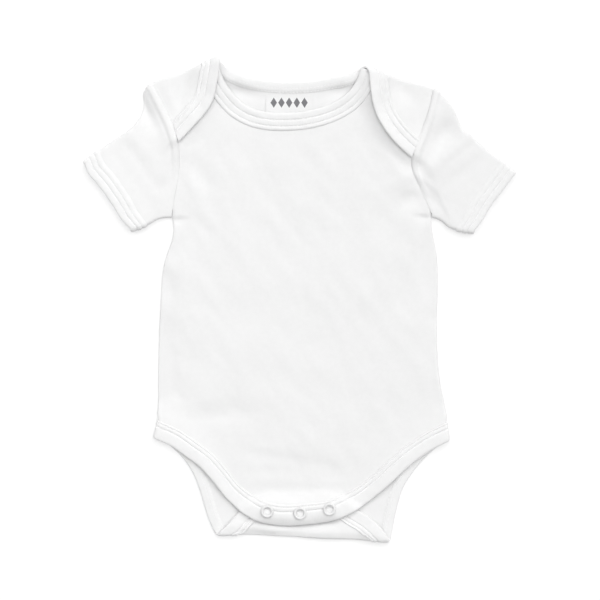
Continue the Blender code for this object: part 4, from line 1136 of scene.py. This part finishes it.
def sleeve_turns():
    counts = (SLEEVE_UPPER, SLEEVE_TURN, SLEEVE_LOWER, SLEEVE_TURN)
    parts = [np.linspace(k, k + 1, n, endpoint=False) for k, n in enumerate(counts)]
    return np.concatenate(parts) * TURN


def make_sleeve(sleeve, name):
    """The sleeve's tube, from the armhole to the binding's inside and back."""
    turns = sleeve_turns()
    lengths = sleeve.read(sleeve.lengths, across_share(turns / TURN))
    insets = [lengths - d for d in SEAM_INSETS]
    last = insets[-1]
    insets += [last + (BAND_STEP - last) * k / SLEEVE_ROWS for k in range(1, SLEEVE_ROWS + 1)]
    outer, inner, uv = [], [], []
    for inset in insets:
        places, normals = place_and_normal(sleeve.lay, np.column_stack([turns, inset]))
        outer.append(places - sleeve.side * SKIN * normals)
        inner.append(places + sleeve.side * SKIN * normals)
        uv.append(np.column_stack([turns * 0.7, inset]))
    faces = list(grid_faces(len(insets), len(turns), columns_close=True))
    faces = shell_faces(faces, len(insets) * len(turns))
    return make_mesh(name, np.concatenate(outer + inner), faces, np.concatenate(uv + uv))


def front_loop(leg, neck):
    """The front's outline, and the rows of points that its rolls need."""
    hem, collar = leg.row(BAND_STEP), neck.row(BAND_STEP)
    for fold in SHOULDER.values():
        collar = collar[fold.split(collar)[1] < COLLAR_CLEAR - SHOULDER_INSET]
    chains, rows = {}, []
    for side, fold in SHOULDER.items():
        seam, roll = side_chains(side, leg)
        rows += roll
        arm = cut_at(fold, armhole_points(side), -SHOULDER_INSET)
        ends = np.array([arm[-1], collar[0 if side == LEFT else -1]])
        reach = np.linspace(*fold.split(ends)[0], SHOULDER_POINTS)[1:-1]
        chains[side] = np.concatenate([seam, arm, fold.at(reach, -SHOULDER_INSET)])
    return np.concatenate([hem, chains[LEFT], collar, chains[RIGHT][::-1]]), rows


def back_loop(leg, neck):
    """The back's outline, and the rows of points that its rolls and folds need."""
    hem, collar = leg.row(BAND_STEP), neck.row(BAND_STEP)
    parts, rows = [hem], []
    for side in (LEFT, RIGHT):
        seam, roll = side_chains(side, leg)
        rows += roll
        fold = SHOULDER[side]
        arm = armhole_points(side)
        lap_end = collar[0 if side == LEFT else -1]
        over = fold.unfold(arm)
        far = fold.split(lap_end[None])[1][0]
        over = over[fold.split(over)[1] < far - LAP_CLEAR][::-1]
        top = fold.split(arm[-1:])[0][0]
        turn = fold_stations(fold, top, top)[:-1]
        chain = np.concatenate([seam, arm, turn, over])
        parts += [chain, collar] if side == LEFT else [chain[::-1]]
        columns = np.arange(0.0, top, STATION)
        rows += [fold.at(columns, FOLD_TURN * k / FOLD_STEPS) for k in range(FOLD_STEPS + 1)]
    width = np.linalg.norm(np.subtract(BACK_LEG[RIGHT][-1], BACK_LEG[LEFT][-1]))
    columns = np.arange(0.0, width, STATION)
    rows += [CROTCH.at(columns, FOLD_TURN * k / FOLD_STEPS) for k in range(FOLD_STEPS + 1)]
    return np.concatenate(parts), rows


LABEL_STEPS = (30, 15)
LABEL_THICK = 0.17


def make_label(name):
    """The satin label, its free corners a little lifted."""
    u, v = (np.linspace(-0.5, 0.5, steps + 1) for steps in LABEL_STEPS)
    share = np.stack(np.meshgrid(u, v), axis=-1).reshape(-1, 2)
    size = share * (LABEL_WIDTH, LABEL_HEIGHT)
    down = 0.5 - share[:, 1]
    lift = 0.42 + 0.5 * np.clip(down, 0, 1) ** 2 * (0.3 + 3 * np.abs(share[:, 0]) ** 2)
    lift += 0.12 * np.cos(7 * share[:, 0] + 1) * np.clip(down + 0.1, 0, 1)
    places, normals = place_and_normal(laid_back, size + LABEL_CENTRE)
    sheets = [places + (SKIN + lift + h)[:, None] * normals for h in (LABEL_THICK, -LABEL_THICK)]
    faces = list(grid_faces(LABEL_STEPS[1] + 1, LABEL_STEPS[0] + 1))
    faces = shell_faces(faces, len(share))
    return make_mesh(name, np.concatenate(sheets), faces, np.tile(size, (2, 1)), 40)


# Snaps: how far the ring stands off the binding and the stud's base below it, and the profiles,
# of (radius, height)
RING_GAP, STUD_DROP = 0.12, 1.0
RING_PROFILE = (
    (2.75, 0.05), (4.6, 0.0), (4.95, 0.12), (5.0, 0.35), (4.85, 0.75),
    (4.45, 1.05), (3.95, 1.15), (3.45, 1.02), (3.1, 0.75), (2.85, 0.4),
)
STUD_PROFILE = ((0.0, 0.0), (3.7, 0.0), (4.0, 0.2), (4.0, 0.55), (3.6, 0.8), (0.0, 0.8))
SNAP_SEGMENTS = 64


def turned(name, centre, axis, profile):
    """A solid turned about an axis from a profile of (radius, height)."""
    side = np.cross(axis, (0.0, 1.0, 0.0))
    side /= np.linalg.norm(side)
    other = np.cross(axis, side)
    places, rings = [], []
    for radius, height in profile:
        turns = SNAP_SEGMENTS if radius > 0 else 1
        rings.append(range(len(places), len(places) + turns))
        for i in range(turns):
            angle = 2 * math.pi * i / SNAP_SEGMENTS
            spoke = math.cos(angle) * side + math.sin(angle) * other
            places.append(centre + height * axis + radius * spoke)
    faces = []
    closed = profile[0][0] > 0
    for k in range(len(rings) if closed else len(rings) - 1):
        here, there = rings[k], rings[(k + 1) % len(rings)]
        for i in range(SNAP_SEGMENTS):
            j = (i + 1) % SNAP_SEGMENTS
            loop = [here[i % len(here)], here[j % len(here)]]
            loop += [there[j % len(there)], there[i % len(there)]]
            faces.append(tuple(dict.fromkeys(loop)))
    return make_mesh(name, np.array(places), faces, None, 40)


class Nodes:
    """A small way to write a material's node tree. An input is given a value, or a node's output
    to link. A keyword names the input, with _ for each space."""

    def __init__(self, name, **shader):
        self.material = bpy.data.materials.new(name)
        self.material.use_nodes = True
        self.tree = self.material.node_tree
        self.shader = self.tree.nodes["Principled BSDF"]
        self.give(self.shader, **shader)

    def give(self, node, *values, **named):
        pairs = list(zip(values, node.inputs))
        pairs += [(value, node.inputs[key.replace("_", " ")]) for key, value in named.items()]
        for value, socket in pairs:
            if isinstance(value, bpy.types.NodeSocket):
                self.tree.links.new(value, socket)
            else:
                socket.default_value = value
        return node

    def add(self, kind, *values, **named):
        return self.give(self.tree.nodes.new("ShaderNode" + kind), *values, **named)

    def math(self, operation, *values):
        node = self.add("Math", *values)
        node.operation = operation
        return node.outputs[0]

    def noise(self, place, scale, detail=2.0):
        return self.add("TexNoise", place, Scale=scale, Detail=detail).outputs[0]

    def cloth_uv(self):
        """The two pattern coordinates, in millimetres over 100."""
        uv = self.add("UVMap")
        uv.uv_map = "cloth"
        return self.add("SeparateXYZ", uv.outputs[0]).outputs[:2]

    def place(self):
        return self.add("TexCoord").outputs["Object"]

    def colour(self, share, dark, light, ends=(0.0, 1.0)):
        """The base colour, between two colours by a share."""
        ramp = self.add("ValToRGB", share)
        for element, position, colour in zip(ramp.color_ramp.elements, ends, (dark, light)):
            element.position, element.color = position, (*colour, 1)
        self.give(self.shader, Base_Color=ramp.outputs[0])

    def bump(self, height, strength, distance):
        bump = self.add("Bump", Strength=strength, Distance=distance, Height=height)
        self.give(self.shader, Normal=bump.outputs[0])


def cloth_material(name, dark, light, wales, courses, depth, sheen, roughness=0.9):
    """Knitted cotton: wales and courses in millimetres, faint mottling between two greys."""
    n = Nodes(
        name, Roughness=roughness, Specular_IOR_Level=0.15, Sheen_Weight=sheen, Sheen_Roughness=0.5
    )
    u, v = n.cloth_uv()
    across = n.math("SINE", n.math("MULTIPLY", u, 100 * 2 * math.pi / wales))
    along = n.math("SINE", n.math("MULTIPLY", v, 100 * 2 * math.pi / courses))
    knit = n.math("ADD", n.math("MULTIPLY", across, 0.7), n.math("MULTIPLY", along, 0.3))
    place = n.place()
    mottle, fuzz = n.noise(place, 260.0, 3.0), n.noise(place, 1500.0)
    height = n.math("ADD", n.math("MULTIPLY", knit, 0.35), n.math("MULTIPLY", mottle, 0.9))
    n.bump(n.math("ADD", height, n.math("MULTIPLY", fuzz, 0.5)), depth, 0.0002)
    n.colour(mottle, (dark,) * 3, (light,) * 3, (0.3, 0.7))
    return n.material


MOTIF_PITCH, MOTIF_MIDDLE, MOTIF_HEIGHT, MOTIF_SIZE, MOTIF_COUNT = 6.0, 2.2, 9.5, 0.42, 5
SATIN_PITCH = 0.35


def satin_material(name):
    """White satin with a small woven row of grey diamonds."""
    n = Nodes(name, Roughness=0.42, Sheen_Weight=0.2)
    u, v = (n.math("MULTIPLY", output, 100.0) for output in n.cloth_uv())
    shifted = n.math("ADD", n.math("DIVIDE", u, MOTIF_PITCH), 0.5)
    cell = n.math("ABSOLUTE", n.math("SUBTRACT", n.math("FRACT", shifted), 0.5))
    height = n.math("ABSOLUTE", n.math("SUBTRACT", v, MOTIF_MIDDLE))
    height = n.math("DIVIDE", height, MOTIF_HEIGHT)
    diamond = n.math("LESS_THAN", n.math("ADD", cell, height), MOTIF_SIZE)
    within = n.math("LESS_THAN", n.math("ABSOLUTE", u), MOTIF_COUNT / 2 * MOTIF_PITCH)
    n.colour(n.math("MULTIPLY", diamond, within), (0.80,) * 3, (0.16, 0.16, 0.17))
    n.bump(n.math("SINE", n.math("MULTIPLY", v, 2 * math.pi / SATIN_PITCH)), 0.25, 0.0001)
    return n.material


def hard_material(name, dark, light, roughness):
    """Moulded plastic or enamel with faint unevenness."""
    n = Nodes(name, Roughness=roughness)
    n.colour(n.noise(n.place(), 900.0), dark, light)
    return n.material


def floor_material(name):
    white = (1, 1, 1, 1)
    return Nodes(
        name, Base_Color=(0.5, 0.5, 0.5, 1), Roughness=1.0, Specular_IOR_Level=0.0,
        Emission_Color=white, Emission_Strength=0.5,
    ).material


JERSEY = cloth_material("white_jersey", 0.79, 0.806, 0.62, 0.55, 0.25, 0.15)
RIB = cloth_material("white_rib", 0.80, 0.82, 1.2, 0.7, 0.35, 0.2)
THREAD = cloth_material("white_thread", 0.85, 0.87, 0.6, 0.6, 0.1, 0.1, 0.7)
SATIN = satin_material("white_satin")
ENAMEL = hard_material("snap_ring", (0.74, 0.74, 0.74), (0.78, 0.78, 0.78), 0.35)
PLASTIC = hard_material("snap_stud", (0.70, 0.70, 0.71), (0.74, 0.74, 0.75), 0.4)

# Bindings: the grooves of the wide leg, (inset, depth), and its end
NECK_BAND = ((5.6, 0.26), (10.4, 0.2)), 13.8
LAP_BAND = ((7.8, 0.5), (12.3, 0.36)), 15.0
LEG_BAND = ((9.4, 0.58), (12.4, 0.28)), 14.2
CUFF_BAND = ((5.5, 0.3), (9.8, 0.24)), 14.8
PLACKET_WIDEN, PLACKET_REACH = 1.18, (34.0, 30.0)
BAND_TUCK = 2.5


def make_panel(word, surface, loop, rows, rests_on):
    name = f"cloth_{word}"
    piece = finish_piece(cloth(name, surface, loop, rows), JERSEY, "jersey", word)


def make_band(word, node, surface, edge, outside, *form, **settings):
    """A binding and its rows of stitches, returned with the strip's length and width."""
    name = f"rib_{word}"
    band = Band(surface, edge, outside, *form, **settings)
    piece = finish_piece(band.build(name), RIB, "rib", node)
    lines = [band.stitches(groove) for groove, _ in band.grooves]
    lines += [band.stitches(inset, True) for inset in INNER_STITCHES]
    finish_piece(make_stitches(f"stitches_{name}", lines), THREAD, "rib")
    return piece, float(run_of(band.places[:, 0])[-1]), band.end + BAND_IN + BAND_TUCK


def main():
    leg_front, neck_front = front_leg_edge(), front_neck_edge()
    leg_back, neck_back = back_leg_edge(), back_neck_edge()
    make_panel("front", laid_front, *front_loop(leg_front, neck_front), "cloth_back")
    make_panel("back", laid_back, *back_loop(leg_back, neck_back), "floor")
    placket = step(np.abs(leg_front.points[:, 0]), *PLACKET_REACH)
    widen = 1 + (PLACKET_WIDEN - 1) * placket
    bands = [
        make_band(word, word.replace("_", "_binding_"), surface, edge, outside, *form)
        for word, surface, edge, outside, *form in (
            ("neck_front", laid_front, neck_front, 1, NECK_BAND, 1.0),
            ("neck_back", laid_back, neck_back, -1, LAP_BAND, 2.0, SOFT_LEG),
            ("leg_front", laid_front, leg_front, 1, LEG_BAND, 3.0, HARD_LEG, widen),
            ("leg_back", laid_back, leg_back, -1, LEG_BAND, 4.0, SOFT_LEG),
        )
    ]
    for side, word in SIDES.items():
        sleeve = Sleeve(side)
        piece = make_sleeve(sleeve, f"cloth_sleeve_{word}")
        finish_piece(piece, JERSEY, "jersey", f"sleeve_{word}")
        bands.append(make_band(
            f"cuff_{word}", f"cuff_binding_{word}", sleeve.lay, RingEdge(sleeve_turns()), -side,
            CUFF_BAND, 6.0 + side, SOFT_CUFF, ring=True
        ))
    label = finish_piece(make_label("label"), SATIN, "satin", "neck_label")
    places, normals = place_and_normal(laid_front, np.array(SNAP_POINTS))
    for i, (place, axis) in enumerate(zip(places, normals), 1):
        top = place + (BAND_TOP + RING_GAP) * axis
        ring = turned(f"ring_{i}", top, axis, RING_PROFILE)
        finish_piece(ring, ENAMEL, "snap", f"snap_cap_{i}")
        base = place - axis * (SKIN + INNER_THICK + STUD_DROP)
        stud = turned(f"stud_{i}", base, axis, STUD_PROFILE)
        finish_piece(stud, PLASTIC, "snap", f"snap_stud_{i}")


def make_floor():
    mesh = bpy.data.meshes.new("floor")
    mesh.from_pydata([(-3, -3, 0), (3, -3, 0), (3, 3, 0), (-3, 3, 0)], [], [(0, 1, 2, 3)])
    floor = bpy.data.objects.new("floor", mesh)
    bpy.context.scene.collection.objects.link(floor)
    mesh.materials.append(floor_material("floor"))


# Camera and light: places in metres, the sky's two greys, and the strength of each lamp
CAMERA_FROM, CAMERA_LENS, CAMERA_WIDTH = (0.0004, 0.0, 1.304), 100.0, 36.0
HORIZON_LIGHT, ZENITH_LIGHT = 0.14, 0.66
KEY_LIGHT, KEY_ANGLE, KEY_FROM = 2.12, 70, (0.32, 0.50, 0.80)
FILL_LIGHT, FILL_SIZE, FILL_FROM = 0.52, 0.8, (-0.85, 0.5, 0.95)


def make_lamp(name, kind, place, **settings):
    lamp = bpy.data.lights.new(name, kind)
    for key, value in settings.items():
        setattr(lamp, key, value)
    holder = bpy.data.objects.new(name, lamp)
    holder.location = place
    holder.rotation_euler = Vector(place).to_track_quat("Z", "Y").to_euler()
    bpy.context.scene.collection.objects.link(holder)


def make_camera_and_light():
    scene = bpy.context.scene
    data = bpy.data.cameras.new("camera")
    data.lens, data.sensor_width = CAMERA_LENS, CAMERA_WIDTH
    camera = bpy.data.objects.new("camera", data)
    camera.location = CAMERA_FROM
    scene.collection.objects.link(camera)
    scene.camera = camera
    scene.view_settings.view_transform = "Standard"
    scene.world = bpy.data.worlds.new("studio")
    scene.world.use_nodes = True
    tree = scene.world.node_tree
    place, apart, ramp = (
        tree.nodes.new("ShaderNode" + kind) for kind in ("TexCoord", "SeparateXYZ", "ValToRGB")
    )
    for element, grey in zip(ramp.color_ramp.elements, (HORIZON_LIGHT, ZENITH_LIGHT)):
        element.color = (grey, grey, grey, 1)
    tree.links.new(place.outputs["Generated"], apart.inputs[0])
    tree.links.new(apart.outputs[2], ramp.inputs[0])
    tree.links.new(ramp.outputs[0], tree.nodes["Background"].inputs["Color"])
    make_lamp("key", "SUN", KEY_FROM, energy=KEY_LIGHT, angle=math.radians(KEY_ANGLE))
    energy = FILL_LIGHT * math.pi * Vector(FILL_FROM).length_squared
    make_lamp("fill", "AREA", FILL_FROM, shape="DISK", size=FILL_SIZE, energy=energy)


make_floor()
make_camera_and_light()
main()
